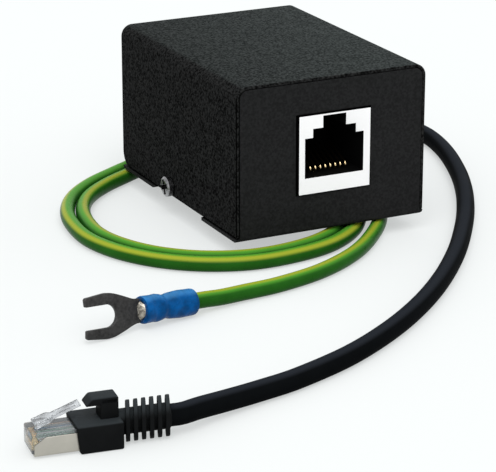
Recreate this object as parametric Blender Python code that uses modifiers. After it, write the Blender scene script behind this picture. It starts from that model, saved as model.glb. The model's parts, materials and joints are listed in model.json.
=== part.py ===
"""Ethernet surge protector: a small folded steel box with one network socket in its front panel,
a patch cable with a plug leaving its rear panel, and an earth wire with a fork terminal.

Metres, +Z up. The front panel faces -Y and the origin is the centre of the steel box.
The box rests on the coiled earth wire, and every cord lies on one level surface below it.
"""

import math

import bmesh
import bpy
from mathutils import Vector

MM = 0.001

# Steel box
BOX_WIDTH = 38.0 * MM
BOX_DEPTH = 50.0 * MM
BOX_HEIGHT = 28.5 * MM
SHEET = 0.6 * MM
COVER_BEND = 2.2 * MM
TRAY_BEND = 0.8 * MM
FIT = 0.3 * MM
COVER_CORNER = 2.0 * MM
NOTCH_FRONT = -10.5 * MM
NOTCH_REAR = 9.5 * MM
NOTCH_DEPTH = 1.2 * MM
TAB_HEIGHT = 7.0 * MM
TAB_SIDE_GAP = 0.5 * MM

# Cover screws
COVER_SCREW_Y = 2.8 * MM
COVER_SCREW_RISE = 2.7 * MM
COVER_SCREW_HEAD = 3.8 * MM
COVER_SCREW_HEAD_HEIGHT = 1.5 * MM
COVER_SCREW_SHANK = 2.0 * MM
COVER_SCREW_LENGTH = 4.0 * MM
CROSS_WIDTH = 0.55 * MM
CROSS_SPAN = 2.2 * MM
CROSS_DEPTH = 0.8 * MM

# Network socket
JACK_FACE = 14.5 * MM
JACK_DEPTH = 18.0 * MM
JACK_X = 0.3 * MM
JACK_RISE = 6.7 * MM
PORT_WIDTH = 11.8 * MM
PORT_FLOOR = 2.95 * MM
PORT_HEIGHT = 7.4 * MM
PORT_STEP_WIDTH = 8.6 * MM
PORT_STEP_HEIGHT = 1.65 * MM
PORT_TAB_WIDTH = 4.6 * MM
PORT_TAB_HEIGHT = 2.2 * MM
PORT_DEPTH = 14.0 * MM
JACK_PEG_RADIUS = 1.0 * MM
JACK_PEG_SPREAD = 5.0 * MM
JACK_PEG_DEPTH = 11.0 * MM
CONTACT_COUNT = 8
CONTACT_PITCH = 1.016 * MM
CONTACT_RADIUS = 0.2 * MM
CONTACT_SETBACK = 4.9 * MM
CONTACT_REACH = 6.2 * MM
CONTACT_RISE = 3.1 * MM

# Circuit board and what it carries
BOARD_SIDE_GAP = 1.2 * MM
BOARD_FRONT_GAP = 0.9 * MM
BOARD_REAR_GAP = 11.5 * MM
BOARD_THICKNESS = 1.6 * MM
STANDOFF_RADIUS = 2.2 * MM
BOARD_SCREW_RADIUS = 1.25 * MM
BOARD_SCREW_HEAD = 2.2 * MM
BOARD_SCREW_INSET = 3.2 * MM
BOARD_SCREW_HEAD_HEIGHT = 1.4 * MM
BOARD_SCREW_END_GAP = 1.8 * MM
PAIR_COUNT = 4
PAIR_PITCH = 5.6 * MM
PAIR_RADIUS = 0.55 * MM
PAIR_SPREAD = 0.95 * MM
PAIR_STARTS = [(-1, 1), (-1, -1), (1, -1), (1, 1)]
PAIR_DROP = 2.6 * MM
PAIR_STAND = 1.6 * MM
LANDING_PITCH = 4.4 * MM
LANDING_SETBACK = 1.4 * MM
ARRESTER_RADIUS = 2.5 * MM
ARRESTER_LENGTH = 5.0 * MM
DIODE_SIZE = (4.4 * MM, 3.6 * MM, 2.3 * MM)

# Earth bond inside the box
STUD_X = 6.0 * MM
STUD_SETBACK = 6.5 * MM
STUD_RADIUS = 1.5 * MM
STUD_HEIGHT = 6.0 * MM
RING_OUTER = 3.2 * MM
RING_SHEET = 0.8 * MM
RING_BARREL = 4.2 * MM
NUT_ACROSS_FLATS = 5.5 * MM
NUT_HEIGHT = 2.4 * MM
WASHER_HEIGHT = 0.5 * MM

# Cords
EARTH_WIRE = 2.8 * MM
TURN_PITCH = 2.9 * MM
CABLE = 3.4 * MM
EARTH_EXIT_X = -9.0 * MM
EARTH_EXIT_RISE = 5.65 * MM
CABLE_EXIT_X = 8.0 * MM
CABLE_EXIT_RISE = 12.65 * MM
CABLE_TAIL = 8.4 * MM
TIE_SETBACK = 5.4 * MM
TIE_WIDTH = 2.4 * MM
TIE_STRAP = 0.9 * MM
TIE_LOCK = 3.0 * MM
GROMMET_FLANGE = 1.2 * MM
GROMMET_WALL = 0.9 * MM
GROMMET_LIP = 1.0 * MM

# Fork terminal
SLEEVE_RADIUS = 2.35 * MM
SLEEVE_LENGTH = 10.5 * MM
SLEEVE_BELL = 5.6 * MM
SLEEVE_NECK_RADIUS = 2.1 * MM
FORK_SHEET = 0.8 * MM
FORK_LENGTH = 10.6 * MM
FORK_WIDTH = 7.5 * MM
FORK_SLOT = 3.8 * MM
FORK_SLOT_DEPTH = 6.0 * MM
FORK_PRONG = 4.0 * MM
FORK_NECK_WIDTH = 4.0 * MM
FORK_TAIL = 1.0 * MM
FORK_ROLL = 78.0
FORK_HEADING = 190.6

# Plug and its boot, measured back from the nose and up from the surface below
PLUG_WIDTH = 5.6 * MM
PLUG_HEIGHT = 3.5 * MM
PLUG_LENGTH = 10.3 * MM
PLUG_LIFT = 0.3 * MM
PLUG_HEADING = -7.5
SHIELD_SHEET = 0.25 * MM
SHIELD_HEIGHT = 3.0 * MM
SHIELD_START = 0.3 * MM
SHIELD_CUT_LENGTH = 1.8 * MM
SHIELD_CUT_HEIGHT = 1.2 * MM
PLUG_CONTACT_PITCH = 0.51 * MM
PLUG_CONTACT_WIDTH = 0.22 * MM
PLUG_CONTACT_LENGTH = 1.8 * MM
PLUG_CONTACT_HEIGHT = 1.3 * MM
PLUG_CONTACT_START = 0.6 * MM
PLUG_SLOT_PLAY = 0.07 * MM
LATCH_ROOT = 0.9 * MM
LATCH_SLOPE = 20.0
LATCH_LENGTH = 7.3 * MM
LATCH_WIDTH = 1.7 * MM
LATCH_SHOULDER = 3.1 * MM
LATCH_SHOULDER_LENGTH = 2.3 * MM
LATCH_THICKNESS = 0.5 * MM
BOOT_FRONT = 7.4 * MM
BOOT_BODY = 6.2 * MM
BOOT_WIDTH = 6.8 * MM
BOOT_WALL = 0.25 * MM
BOOT_POCKET = 3.2 * MM
HOOD_WIDTH = 3.0 * MM
HOOD_TOP = 7.7 * MM
HOOD_SHEET = 1.0 * MM
HOOD_SETBACK = 2.0 * MM
HOOD_LEG = 3.0 * MM
TONGUE_SETBACK = 0.95 * MM
TONGUE_DROP = 0.8 * MM
RIB_COUNT = 6
RIB_PITCH = 1.22 * MM
RIB_THICKNESS = 0.64 * MM
RIB_START = 1.1 * MM
RIB_WIDTH = 6.7 * MM
RIB_HEIGHT = 5.7 * MM
BOOT_AXIS = 2.95 * MM
BOOT_CORE = 2.25 * MM

# Levels
BOX_BOTTOM = -BOX_HEIGHT / 2
BOX_TOP = BOX_HEIGHT / 2
FLOOR = BOX_BOTTOM - FIT - EARTH_WIRE
TRAY_FLOOR = BOX_BOTTOM + SHEET
FRONT = -BOX_DEPTH / 2
REAR = BOX_DEPTH / 2
INNER_HALF = BOX_WIDTH / 2 - SHEET - FIT
PANEL_CORNER = COVER_BEND - SHEET - FIT
COVER_SCREW_Z = BOX_BOTTOM + COVER_SCREW_RISE
JACK_BOTTOM = TRAY_FLOOR + JACK_RISE
JACK_Z = JACK_BOTTOM + JACK_FACE / 2
JACK_REAR = FRONT + JACK_DEPTH
BOARD_TOP = JACK_BOTTOM - FIT
BOARD_BOTTOM = BOARD_TOP - BOARD_THICKNESS
BOARD_WIDTH = 2 * (INNER_HALF - SHEET - BOARD_SIDE_GAP)
BOARD_FRONT = FRONT + SHEET + BOARD_FRONT_GAP
BOARD_REAR = REAR - BOARD_REAR_GAP
LANDING_Y = BOARD_REAR - LANDING_SETBACK
STUD_Y = REAR - STUD_SETBACK
EARTH_EXIT_Z = TRAY_FLOOR + EARTH_EXIT_RISE
CABLE_EXIT_Z = TRAY_FLOOR + CABLE_EXIT_RISE
WIRE_LEVEL = FLOOR + EARTH_WIRE / 2
CABLE_LEVEL = FLOOR + CABLE / 2
GROMMET_FACE = REAR + FIT + GROMMET_FLANGE

# Middle line of the two coiled turns of earth wire, clockwise from the right, seen from above
COIL_ROUTE = [
    (18.0 * MM, 16.0 * MM),
    (16.4 * MM, 2.0 * MM),
    (11.3 * MM, -12.5 * MM),
    (2.0 * MM, -24.6 * MM),
    (-8.2 * MM, -28.7 * MM),
    (-17.2 * MM, -29.4 * MM),
    (-26.6 * MM, -25.9 * MM),
    (-34.2 * MM, -18.3 * MM),
    (-38.0 * MM, -8.2 * MM),
    (-37.9 * MM, 0.6 * MM),
    (-35.6 * MM, 9.4 * MM),
    (-30.8 * MM, 17.2 * MM),
    (-24.2 * MM, 22.9 * MM),
    (-16.8 * MM, 27.4 * MM),
    (-8.0 * MM, 32.2 * MM),
    (2.0 * MM, 36.2 * MM),
    (11.0 * MM, 35.0 * MM),
    (16.6 * MM, 27.2 * MM),
]

# Earth wire from its grommet, over the coil behind the box, down to the coil's inner side
LEAD_ROUTE = [
    (-9.0 * MM, GROMMET_FACE + FIT, EARTH_EXIT_Z),
    (-9.0 * MM, 31.5 * MM, -8.1 * MM),
    (-7.6 * MM, 36.6 * MM, -8.8 * MM),
    (-3.4 * MM, 40.4 * MM, -9.9 * MM),
    (2.4 * MM, 40.6 * MM, -11.0 * MM),
    (7.2 * MM, 37.2 * MM, -12.0 * MM),
    (9.8 * MM, 31.8 * MM, -13.2 * MM),
    (11.4 * MM, 27.2 * MM, WIRE_LEVEL + 1.0 * MM),
    (12.6 * MM, 22.4 * MM, WIRE_LEVEL + 0.1 * MM),
    (13.1 * MM, 17.0 * MM, WIRE_LEVEL),
]

# Earth wire from the outside of the coil to the terminal, as (x, y, height above its rest)
TAIL_ROUTE = [
    (22.4 * MM, 24.6 * MM, 0.0 * MM),
    (22.9 * MM, 15.0 * MM, 0.0 * MM),
    (21.6 * MM, 2.6 * MM, 0.0 * MM),
    (17.6 * MM, -10.4 * MM, 0.0 * MM),
    (12.7 * MM, -20.3 * MM, 0.0 * MM),
    (5.6 * MM, -29.0 * MM, 0.0 * MM),
    (-1.5 * MM, -35.2 * MM, 0.0 * MM),
    (-10.2 * MM, -40.0 * MM, 0.0 * MM),
    (-19.2 * MM, -42.6 * MM, 0.0 * MM),
    (-26.6 * MM, -43.6 * MM, 0.1 * MM),
    (-31.4 * MM, -44.6 * MM, 0.35 * MM),
]

# Patch cable from its grommet round the right of the box to the boot, as (x, y, height above its rest)
CABLE_ROUTE = [
    (8.0 * MM, GROMMET_FACE + FIT, CABLE_EXIT_Z - CABLE_LEVEL),
    (8.1 * MM, 33.5 * MM, 14.0 * MM),
    (11.4 * MM, 41.0 * MM, 12.4 * MM),
    (18.8 * MM, 46.6 * MM, 9.0 * MM),
    (27.8 * MM, 48.2 * MM, 5.4 * MM),
    (36.2 * MM, 45.2 * MM, 2.6 * MM),
    (42.4 * MM, 39.2 * MM, 0.9 * MM),
    (46.0 * MM, 31.2 * MM, 0.1 * MM),
    (47.2 * MM, 22.0 * MM, 0.0 * MM),
    (45.1 * MM, 11.2 * MM, 0.0 * MM),
    (40.6 * MM, -1.4 * MM, 0.0 * MM),
    (35.3 * MM, -12.8 * MM, 0.0 * MM),
    (29.0 * MM, -23.8 * MM, 0.0 * MM),
    (22.3 * MM, -33.8 * MM, 0.0 * MM),
    (15.0 * MM, -43.5 * MM, 0.0 * MM),
    (6.0 * MM, -53.7 * MM, 0.0 * MM),
    (-3.4 * MM, -62.6 * MM, 0.0 * MM),
    (-13.4 * MM, -70.3 * MM, 0.0 * MM),
    (-24.4 * MM, -76.9 * MM, 0.0 * MM),
    (-35.7 * MM, -81.5 * MM, 0.0 * MM),
    (-44.0 * MM, -83.8 * MM, 0.15 * MM),
    (-50.2 * MM, -85.6 * MM, 0.5 * MM),
    (-55.6 * MM, -87.4 * MM, 1.0 * MM),
]

BLACK_COAT = ((0.012, 0.012, 0.013), 0.55, 0.0)
WHITE_PLASTIC = ((0.85, 0.85, 0.84), 0.35, 0.0)
GOLD = ((0.85, 0.6, 0.22), 0.25, 1.0)
STEEL = ((0.55, 0.55, 0.56), 0.3, 1.0)
BRASS = ((0.7, 0.55, 0.25), 0.35, 1.0)
TIN = ((0.3, 0.29, 0.28), 0.45, 1.0)
BOARD_GREEN = ((0.02, 0.16, 0.06), 0.4, 0.0)
CERAMIC = ((0.75, 0.72, 0.66), 0.4, 0.0)
BLACK_PLASTIC = ((0.01, 0.01, 0.011), 0.45, 0.0)
RUBBER = ((0.015, 0.015, 0.015), 0.7, 0.0)
GREEN_SHEATH = ((0.05, 0.28, 0.04), 0.4, 0.0)
BLUE_SLEEVE = ((0.01, 0.11, 0.5), 0.35, 0.0)
CLEAR = ((0.7, 0.75, 0.78), 0.1, 0.0)
PAIR_COLOURS = (
    ((0.75, 0.3, 0.05), 0.4, 0.0),
    ((0.04, 0.3, 0.08), 0.4, 0.0),
    ((0.05, 0.12, 0.5), 0.4, 0.0),
    ((0.22, 0.1, 0.05), 0.4, 0.0),
)


def clear_scene():
    for obj in list(bpy.context.scene.objects):
        bpy.data.objects.remove(obj, do_unlink=True)


def make_collection(name):
    collection = bpy.data.collections.new(name)
    bpy.context.scene.collection.children.link(collection)
    return collection


clear_scene()
PARTS = make_collection("ethernet_surge_protector")
CUTTERS = make_collection("cutters")


def make_material(name, look):
    colour, roughness, metallic = look
    material = bpy.data.materials.new(name)
    material.use_nodes = True
    shader = material.node_tree.nodes["Principled BSDF"]
    shader.inputs["Base Color"].default_value = (*colour, 1.0)
    shader.inputs["Roughness"].default_value = roughness
    shader.inputs["Metallic"].default_value = metallic
    return material


def add_object(name, data, look=None):
    """A named object in the part, or a hidden wire cutter where no look is given."""
    obj = bpy.data.objects.new(name, data)
    if look is None:
        CUTTERS.objects.link(obj)
        obj.hide_render = True
        obj.display_type = "WIRE"
    else:
        PARTS.objects.link(obj)
        data.materials.append(make_material(name, look))
    return obj


def add_frame(name, place, turn_z=0.0):
    """An empty that carries the pieces of one assembly."""
    frame = bpy.data.objects.new(name, None)
    PARTS.objects.link(frame)
    frame.location = place
    frame.rotation_euler = (0.0, 0.0, math.radians(turn_z))
    return frame


def attach(obj, frame):
    obj.parent = frame
    return obj


def box(name, low, high, look=None, rounding=0.0, segments=2):
    """A block between two corners, with its edges rounded by a Bevel modifier."""
    size = [b - a for a, b in zip(low, high)]
    shape = bmesh.new()
    bmesh.ops.create_cube(shape, size=1.0)
    bmesh.ops.scale(shape, vec=size, verts=shape.verts)
    mesh = bpy.data.meshes.new(name)
    shape.to_mesh(mesh)
    shape.free()
    obj = add_object(name, mesh, look)
    obj.location = [(a + b) / 2 for a, b in zip(low, high)]
    if rounding:
        round_edges(obj, rounding, segments)
    return obj


def round_edges(obj, width, segments=2, angle=40.0):
    bevel = obj.modifiers.new("rounding", "BEVEL")
    bevel.width = width
    bevel.segments = segments
    bevel.limit_method = "ANGLE"
    bevel.angle_limit = math.radians(angle)
    return bevel


def turned(name, profile, look=None, steps=32, ring=False):
    """A turned piece about Z: (radius, height) points down its outer side, closed into a ring if asked."""
    points = [(radius, 0.0, height) for radius, height in profile]
    edges = [(i, i + 1) for i in range(len(points) - 1)]
    if ring:
        edges.append((len(points) - 1, 0))
    mesh = bpy.data.meshes.new(name)
    mesh.from_pydata(points, edges, [])
    obj = add_object(name, mesh, look)
    screw = obj.modifiers.new("turn", "SCREW")
    screw.axis = "Z"
    screw.steps = steps
    screw.render_steps = steps
    screw.use_merge_vertices = True
    screw.merge_threshold = 0.00001
    screw.use_smooth_shade = True
    return obj


def cylinder(name, radius, low, high, look=None, steps=24):
    return turned(name, [(0.0, high), (radius, high), (radius, low), (0.0, low)], look, steps)


def tube(name, points, radius, look, sides=2):
    """A wire or cord along points that were read from a smooth route."""
    curve = bpy.data.curves.new(name, "CURVE")
    curve.dimensions = "3D"
    curve.bevel_depth = radius
    curve.bevel_resolution = sides
    curve.use_fill_caps = True
    spline = curve.splines.new("POLY")
    spline.points.add(len(points) - 1)
    for point, place in zip(spline.points, points):
        point.co = (*place, 1.0)
    return add_object(name, curve, look)


def plate(name, outlines, thickness, look=None, rim=0.0):
    """A flat piece in XY from closed outlines, the later ones its holes, as a solid mesh."""
    curve = bpy.data.curves.new(name, "CURVE")
    curve.dimensions = "2D"
    curve.fill_mode = "BOTH"
    curve.extrude = thickness / 2 - rim
    curve.bevel_depth = rim
    curve.bevel_resolution = 1
    for outline in outlines:
        spline = curve.splines.new("POLY")
        spline.points.add(len(outline) - 1)
        for point, (x, y) in zip(spline.points, outline):
            point.co = (x, y, 0.0, 1.0)
        spline.use_cyclic_u = True
    drawn = bpy.data.objects.new(name + "_outline", curve)
    CUTTERS.objects.link(drawn)
    bpy.context.view_layer.update()
    graph = bpy.context.evaluated_depsgraph_get()
    mesh = bpy.data.meshes.new_from_object(drawn.evaluated_get(graph))
    bpy.data.objects.remove(drawn, do_unlink=True)
    shape = bmesh.new()
    shape.from_mesh(mesh)
    bmesh.ops.remove_doubles(shape, verts=shape.verts, dist=0.000001)
    shape.to_mesh(mesh)
    shape.free()
    mesh.materials.clear()
    return add_object(name, mesh, look)


def lay_in_xz(obj):
    """Stands a flat piece up, so that its outline is seen from the front."""
    obj.rotation_euler = (math.radians(90.0), 0.0, 0.0)
    return obj


def bend_line(corners, radius, steps=6):
    """An open line through 2D corners with each inner corner rounded to an arc."""
    line = [Vector(corners[0])]
    for before, corner, after in zip(corners, corners[1:], corners[2:]):
        corner = Vector(corner)
        back = (Vector(before) - corner).normalized()
        ahead = (Vector(after) - corner).normalized()
        half = back.angle(ahead) / 2
        start = corner + back * (radius / math.tan(half))
        centre = corner + (back + ahead).normalized() * (radius / math.sin(half))
        turn = (start - centre).angle_signed(corner + ahead * (radius / math.tan(half)) - centre)
        for step in range(steps + 1):
            angle = -turn * step / steps
            arm = start - centre
            line.append(
                centre
                + Vector(
                    (
                        arm.x * math.cos(angle) - arm.y * math.sin(angle),
                        arm.x * math.sin(angle) + arm.y * math.cos(angle),
                    )
                )
            )
    line.append(Vector(corners[-1]))
    return line


def folded_sheet(name, line, low, high, along, thickness, look=None):
    """Sheet bent to a line drawn on its middle surface and run from low to high along X or Y."""
    points = []
    for a, b in line:
        for end in (low, high):
            points.append((end, a, b) if along == "X" else (a, end, b))
    faces = [(2 * i, 2 * i + 1, 2 * i + 3, 2 * i + 2) for i in range(len(line) - 1)]
    mesh = bpy.data.meshes.new(name)
    mesh.from_pydata(points, [], faces)
    obj = add_object(name, mesh, look)
    wall = obj.modifiers.new("sheet", "SOLIDIFY")
    wall.thickness = thickness
    wall.offset = 0.0
    wall.use_even_offset = True
    return obj


def combine(target, other, operation, solver="EXACT"):
    change = target.modifiers.new(operation.lower(), "BOOLEAN")
    change.operation = operation
    change.solver = solver
    change.object = other
    if other.parent is None and target.parent is not None:
        other.parent = target.parent
    return target


def cut(target, *cutters):
    for cutter in cutters:
        combine(target, cutter, "DIFFERENCE")
    return target


def join(target, *others):
    for other in others:
        combine(target, other, "UNION")
    return target


def arc(centre, radius, start, end, steps):
    """Points on an arc about a centre, in degrees."""
    turns = [math.radians(start + (end - start) * i / steps) for i in range(steps + 1)]
    return [(centre[0] + radius * math.cos(a), centre[1] + radius * math.sin(a)) for a in turns]


def rounded_rectangle(width, height, radius, centre=(0.0, 0.0), steps=5):
    x, y = width / 2 - radius, height / 2 - radius
    corners = [(x, y, 0), (-x, y, 90), (-x, -y, 180), (x, -y, 270)]
    return [
        point
        for a, b, start in corners
        for point in arc((centre[0] + a, centre[1] + b), radius, start, start + 90, steps)
    ]


def smooth_curve(points, closed=False, samples=16):
    """A dense Catmull-Rom curve through points of any dimension."""
    points = [Vector(p) for p in points]
    count = len(points)
    spans = count if closed else count - 1
    dense = []
    for i in range(spans):
        if closed:
            a, b, c, d = (points[(i + k) % count] for k in (-1, 0, 1, 2))
        else:
            b, c = points[i], points[i + 1]
            a = points[i - 1] if i else b * 2 - c
            d = points[i + 2] if i + 2 < count else c * 2 - b
        for step in range(samples):
            t = step / samples
            dense.append(
                0.5 * (2 * b + (c - a) * t + (2 * a - 5 * b + 4 * c - d) * t**2
                       + (3 * b - a - 3 * c + d) * t**3)
            )
    dense.append(points[0] if closed else points[-1])
    return dense


def spaced(dense, spacing):
    """Points read along a dense curve at an even spacing, both ends kept."""
    lengths = [0.0]
    for a, b in zip(dense, dense[1:]):
        lengths.append(lengths[-1] + (b - a).length)
    count = max(2, round(lengths[-1] / spacing))
    read = []
    i = 0
    for k in range(count + 1):
        goal = lengths[-1] * k / count
        while i < len(dense) - 2 and lengths[i + 1] < goal:
            i += 1
        span = lengths[i + 1] - lengths[i]
        share = (goal - lengths[i]) / span if span else 0.0
        read.append(dense[i].lerp(dense[i + 1], min(share, 1.0)))
    return read


def build_cover():
    """The top and both sides, folded from one sheet, with screw holes and two eased rear corners."""
    half = BOX_WIDTH / 2 - SHEET / 2
    bottom = TRAY_FLOOR + FIT
    top = BOX_TOP - SHEET / 2
    line = bend_line(
        [(-half, bottom), (-half, top), (half, top), (half, bottom)], COVER_BEND - SHEET / 2
    )
    cover = folded_sheet("cover", line, FRONT, REAR, "Y", SHEET, BLACK_COAT)
    for side, name in ((-1, "left"), (1, "right")):
        hole = cylinder(f"cover_hole_{name}", COVER_SCREW_SHANK / 2 + FIT, -SHEET * 2, SHEET * 2)
        hole.location = (side * half, COVER_SCREW_Y, COVER_SCREW_Z)
        hole.rotation_euler = (0.0, math.radians(90.0), 0.0)
        cut(cover, hole)
    reach = BOX_WIDTH / 2 + SHEET
    rim = arc((REAR - COVER_CORNER, bottom + COVER_CORNER), COVER_CORNER, -90, 0, 6)
    spare = COVER_CORNER / 2
    outline = [*rim, (REAR + spare, bottom + COVER_CORNER), (REAR + spare, bottom - spare),
               (REAR - COVER_CORNER, bottom - spare)]
    corner = plate("cover_corner_cutter", [outline], reach * 2)
    corner.rotation_euler = (math.radians(90.0), 0.0, math.radians(90.0))
    cut(cover, corner)
    return cover


def build_tray():
    """The front panel, floor and rear panel, folded from one sheet, with a tab at each side for the screws."""
    front, rear = FRONT + SHEET / 2, REAR - SHEET / 2
    low, high = BOX_BOTTOM + SHEET / 2, BOX_TOP - SHEET - FIT
    bend = TRAY_BEND - SHEET / 2
    line = bend_line([(front, high), (front, low), (rear, low), (rear, high)], bend)
    half = BOX_WIDTH / 2
    tray = folded_sheet("tray", line, -half, half, "X", SHEET, BLACK_COAT)
    spare = SHEET
    for side, name in ((-1, "left"), (1, "right")):
        edges = sorted((side * INNER_HALF, side * (half + spare)))
        trim = box(f"tray_trim_{name}", (edges[0], FRONT - spare, TRAY_FLOOR),
                   (edges[1], REAR + spare, BOX_TOP))
        edges = sorted((side * (INNER_HALF - NOTCH_DEPTH), side * (half + spare)))
        notch = box(f"tray_notch_{name}", (edges[0], NOTCH_FRONT, BOX_BOTTOM - spare),
                    (edges[1], NOTCH_REAR, TRAY_FLOOR + spare))
        cut(tray, trim, notch)
        outer = side * (INNER_HALF - SHEET / 2)
        inner = side * (INNER_HALF - NOTCH_DEPTH * 1.5)
        tab_line = bend_line([(inner, low), (outer, low), (outer, low + TAB_HEIGHT)], bend)
        tab = folded_sheet(f"tray_tab_{name}", tab_line, NOTCH_FRONT + TAB_SIDE_GAP,
                           NOTCH_REAR - TAB_SIDE_GAP, "Y", SHEET)
        hole = cylinder(f"tab_hole_{name}", COVER_SCREW_SHANK / 2 + FIT, -SHEET * 2, SHEET * 2)
        hole.location = (outer, COVER_SCREW_Y, COVER_SCREW_Z)
        hole.rotation_euler = (0.0, math.radians(90.0), 0.0)
        cut(tab, hole)
        combine(tray, tab, "UNION", "MANIFOLD")
    window = box("jack_window", (JACK_X - JACK_FACE / 2 - FIT, FRONT - spare, JACK_BOTTOM - FIT),
                 (JACK_X + JACK_FACE / 2 + FIT, FRONT + SHEET + spare, JACK_Z + JACK_FACE / 2 + FIT))
    cut(tray, window)
    for name, x, z, cord in (("earth", EARTH_EXIT_X, EARTH_EXIT_Z, EARTH_WIRE),
                             ("cable", CABLE_EXIT_X, CABLE_EXIT_Z, CABLE)):
        hole = cylinder(f"{name}_panel_hole", grommet_waist(cord) + FIT, -SHEET * 2, SHEET * 2)
        hole.location = (x, rear, z)
        hole.rotation_euler = (math.radians(90.0), 0.0, 0.0)
        cut(tray, hole)
    cut(tray, *panel_corners())
    cut(tray, stud_hole())
    return tray


def panel_corners():
    """Cutters that round the top corners of the front and rear panels, under the cover's bends."""
    top = BOX_TOP - SHEET - FIT
    cutters = []
    for side, name in ((-1, "left"), (1, "right")):
        centre = (side * (INNER_HALF - PANEL_CORNER), top - PANEL_CORNER)
        start = 90 if side < 0 else 0
        rim = arc(centre, PANEL_CORNER, start, start + 90, 6)
        spare = PANEL_CORNER / 2
        x = side * (INNER_HALF + spare)
        if side < 0:
            outline = [*rim, (x, centre[1]), (x, top + spare), (centre[0], top + spare)]
        else:
            outline = [*rim, (centre[0], top + spare), (x, top + spare), (x, centre[1])]
        cutters.append(lay_in_xz(plate(f"panel_corner_{name}", [outline], BOX_DEPTH + 4 * SHEET)))
    return cutters


def stud_hole():
    hole = cylinder("stud_hole", STUD_RADIUS + FIT, BOX_BOTTOM - SHEET, TRAY_FLOOR + SHEET)
    hole.location = (STUD_X, STUD_Y, 0.0)
    return hole


def build_pan_screw(name, head_radius, head_height, shank_radius, length, look):
    """A pan-head screw along Z, its head's seat at height 0 and its head above, with a cross recess."""
    crown = head_height * 0.45
    profile = [(0.0, head_height), (head_radius * 0.55, head_height * 0.97),
               (head_radius * 0.85, head_height * 0.8), (head_radius, crown), (head_radius, 0.0),
               (shank_radius, 0.0), (shank_radius, -length + shank_radius / 2),
               (shank_radius / 2, -length), (0.0, -length)]
    screw = turned(name, profile, look, 24)
    span = min(CROSS_SPAN, head_radius * 1.2)
    for turn in (0.0, 90.0):
        slot = box(f"{name}_recess_{turn:.0f}", (-span / 2, -CROSS_WIDTH / 2, head_height - CROSS_DEPTH),
                   (span / 2, CROSS_WIDTH / 2, head_height + CROSS_DEPTH))
        slot.rotation_euler = (0.0, 0.0, math.radians(turn))
        slot.parent = screw
        cut(screw, slot)
    return screw


def build_cover_screws():
    for side, name in ((-1, "left"), (1, "right")):
        screw = build_pan_screw(f"cover_screw_{name}", COVER_SCREW_HEAD / 2, COVER_SCREW_HEAD_HEIGHT,
                                COVER_SCREW_SHANK / 2, COVER_SCREW_LENGTH, STEEL)
        screw.location = (side * (BOX_WIDTH / 2 + FIT), COVER_SCREW_Y, COVER_SCREW_Z)
        screw.rotation_euler = (0.0, math.radians(side * 90.0), 0.0)


def jack_outline():
    """The socket's opening: the plug's width below, one step, and the latch's slot above."""
    floor = -JACK_FACE / 2 + PORT_FLOOR
    levels = [(PORT_WIDTH / 2, floor + PORT_HEIGHT), (PORT_STEP_WIDTH / 2, floor + PORT_HEIGHT + PORT_STEP_HEIGHT),
              (PORT_TAB_WIDTH / 2, floor + PORT_HEIGHT + PORT_STEP_HEIGHT + PORT_TAB_HEIGHT)]
    right = [(levels[0][0], floor)]
    for (half, height), (after, _) in zip(levels, levels[1:] + [(0.0, 0.0)]):
        right.append((half, height))
        if after:
            right.append((after, height))
    return right + [(-x, z) for x, z in reversed(right)]


def build_jack():
    """The white socket moulding: stepped port, a slot for the contact tails, and two pegs into the board."""
    half = JACK_FACE / 2
    jack = box("jack_housing", (JACK_X - half, FRONT, JACK_BOTTOM),
               (JACK_X + half, FRONT + JACK_DEPTH, JACK_Z + half), WHITE_PLASTIC)
    port = lay_in_xz(plate("jack_port", [jack_outline()], PORT_DEPTH * 2))
    port.location = (JACK_X, FRONT, JACK_Z)
    floor = JACK_BOTTOM + PORT_FLOOR
    comb = CONTACT_PITCH * CONTACT_COUNT / 2 + FIT
    slot = box("jack_tail_slot", (JACK_X - comb, FRONT + PORT_DEPTH - 2.2 * MM, JACK_BOTTOM - FIT),
               (JACK_X + comb, FRONT + PORT_DEPTH - 0.4 * MM, floor + FIT))
    cut(jack, port, slot)
    for side, name in ((-1, "left"), (1, "right")):
        peg = cylinder(f"jack_peg_{name}", JACK_PEG_RADIUS, BOARD_BOTTOM - FIT, JACK_BOTTOM + FIT * 2)
        peg.location = (JACK_X + side * JACK_PEG_SPREAD, FRONT + JACK_PEG_DEPTH, 0.0)
        join(jack, peg)


def build_jack_contacts():
    """Eight spring wires: up from the board, forward along the port's floor, then back and up."""
    floor = JACK_BOTTOM + PORT_FLOOR
    lie = floor + FIT + CONTACT_RADIUS
    tail = FRONT + PORT_DEPTH - 1.3 * MM
    bend = FRONT + CONTACT_SETBACK
    radius = 0.55 * MM
    for i in range(CONTACT_COUNT):
        x = JACK_X + (i - (CONTACT_COUNT - 1) / 2) * CONTACT_PITCH
        nose = [(bend + radius * (1 - math.sin(math.radians(a))), lie + radius * (1 - math.cos(math.radians(a))))
                for a in (0, 45, 90, 135)]
        line = [(tail, BOARD_TOP + FIT), (tail, lie - 0.25 * MM), (tail - 0.3 * MM, lie), *nose,
                (bend + CONTACT_REACH, lie + CONTACT_RISE)]
        tube(f"jack_contact_{i + 1}", [(x, y, z) for y, z in line], CONTACT_RADIUS, GOLD, 1)


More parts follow.
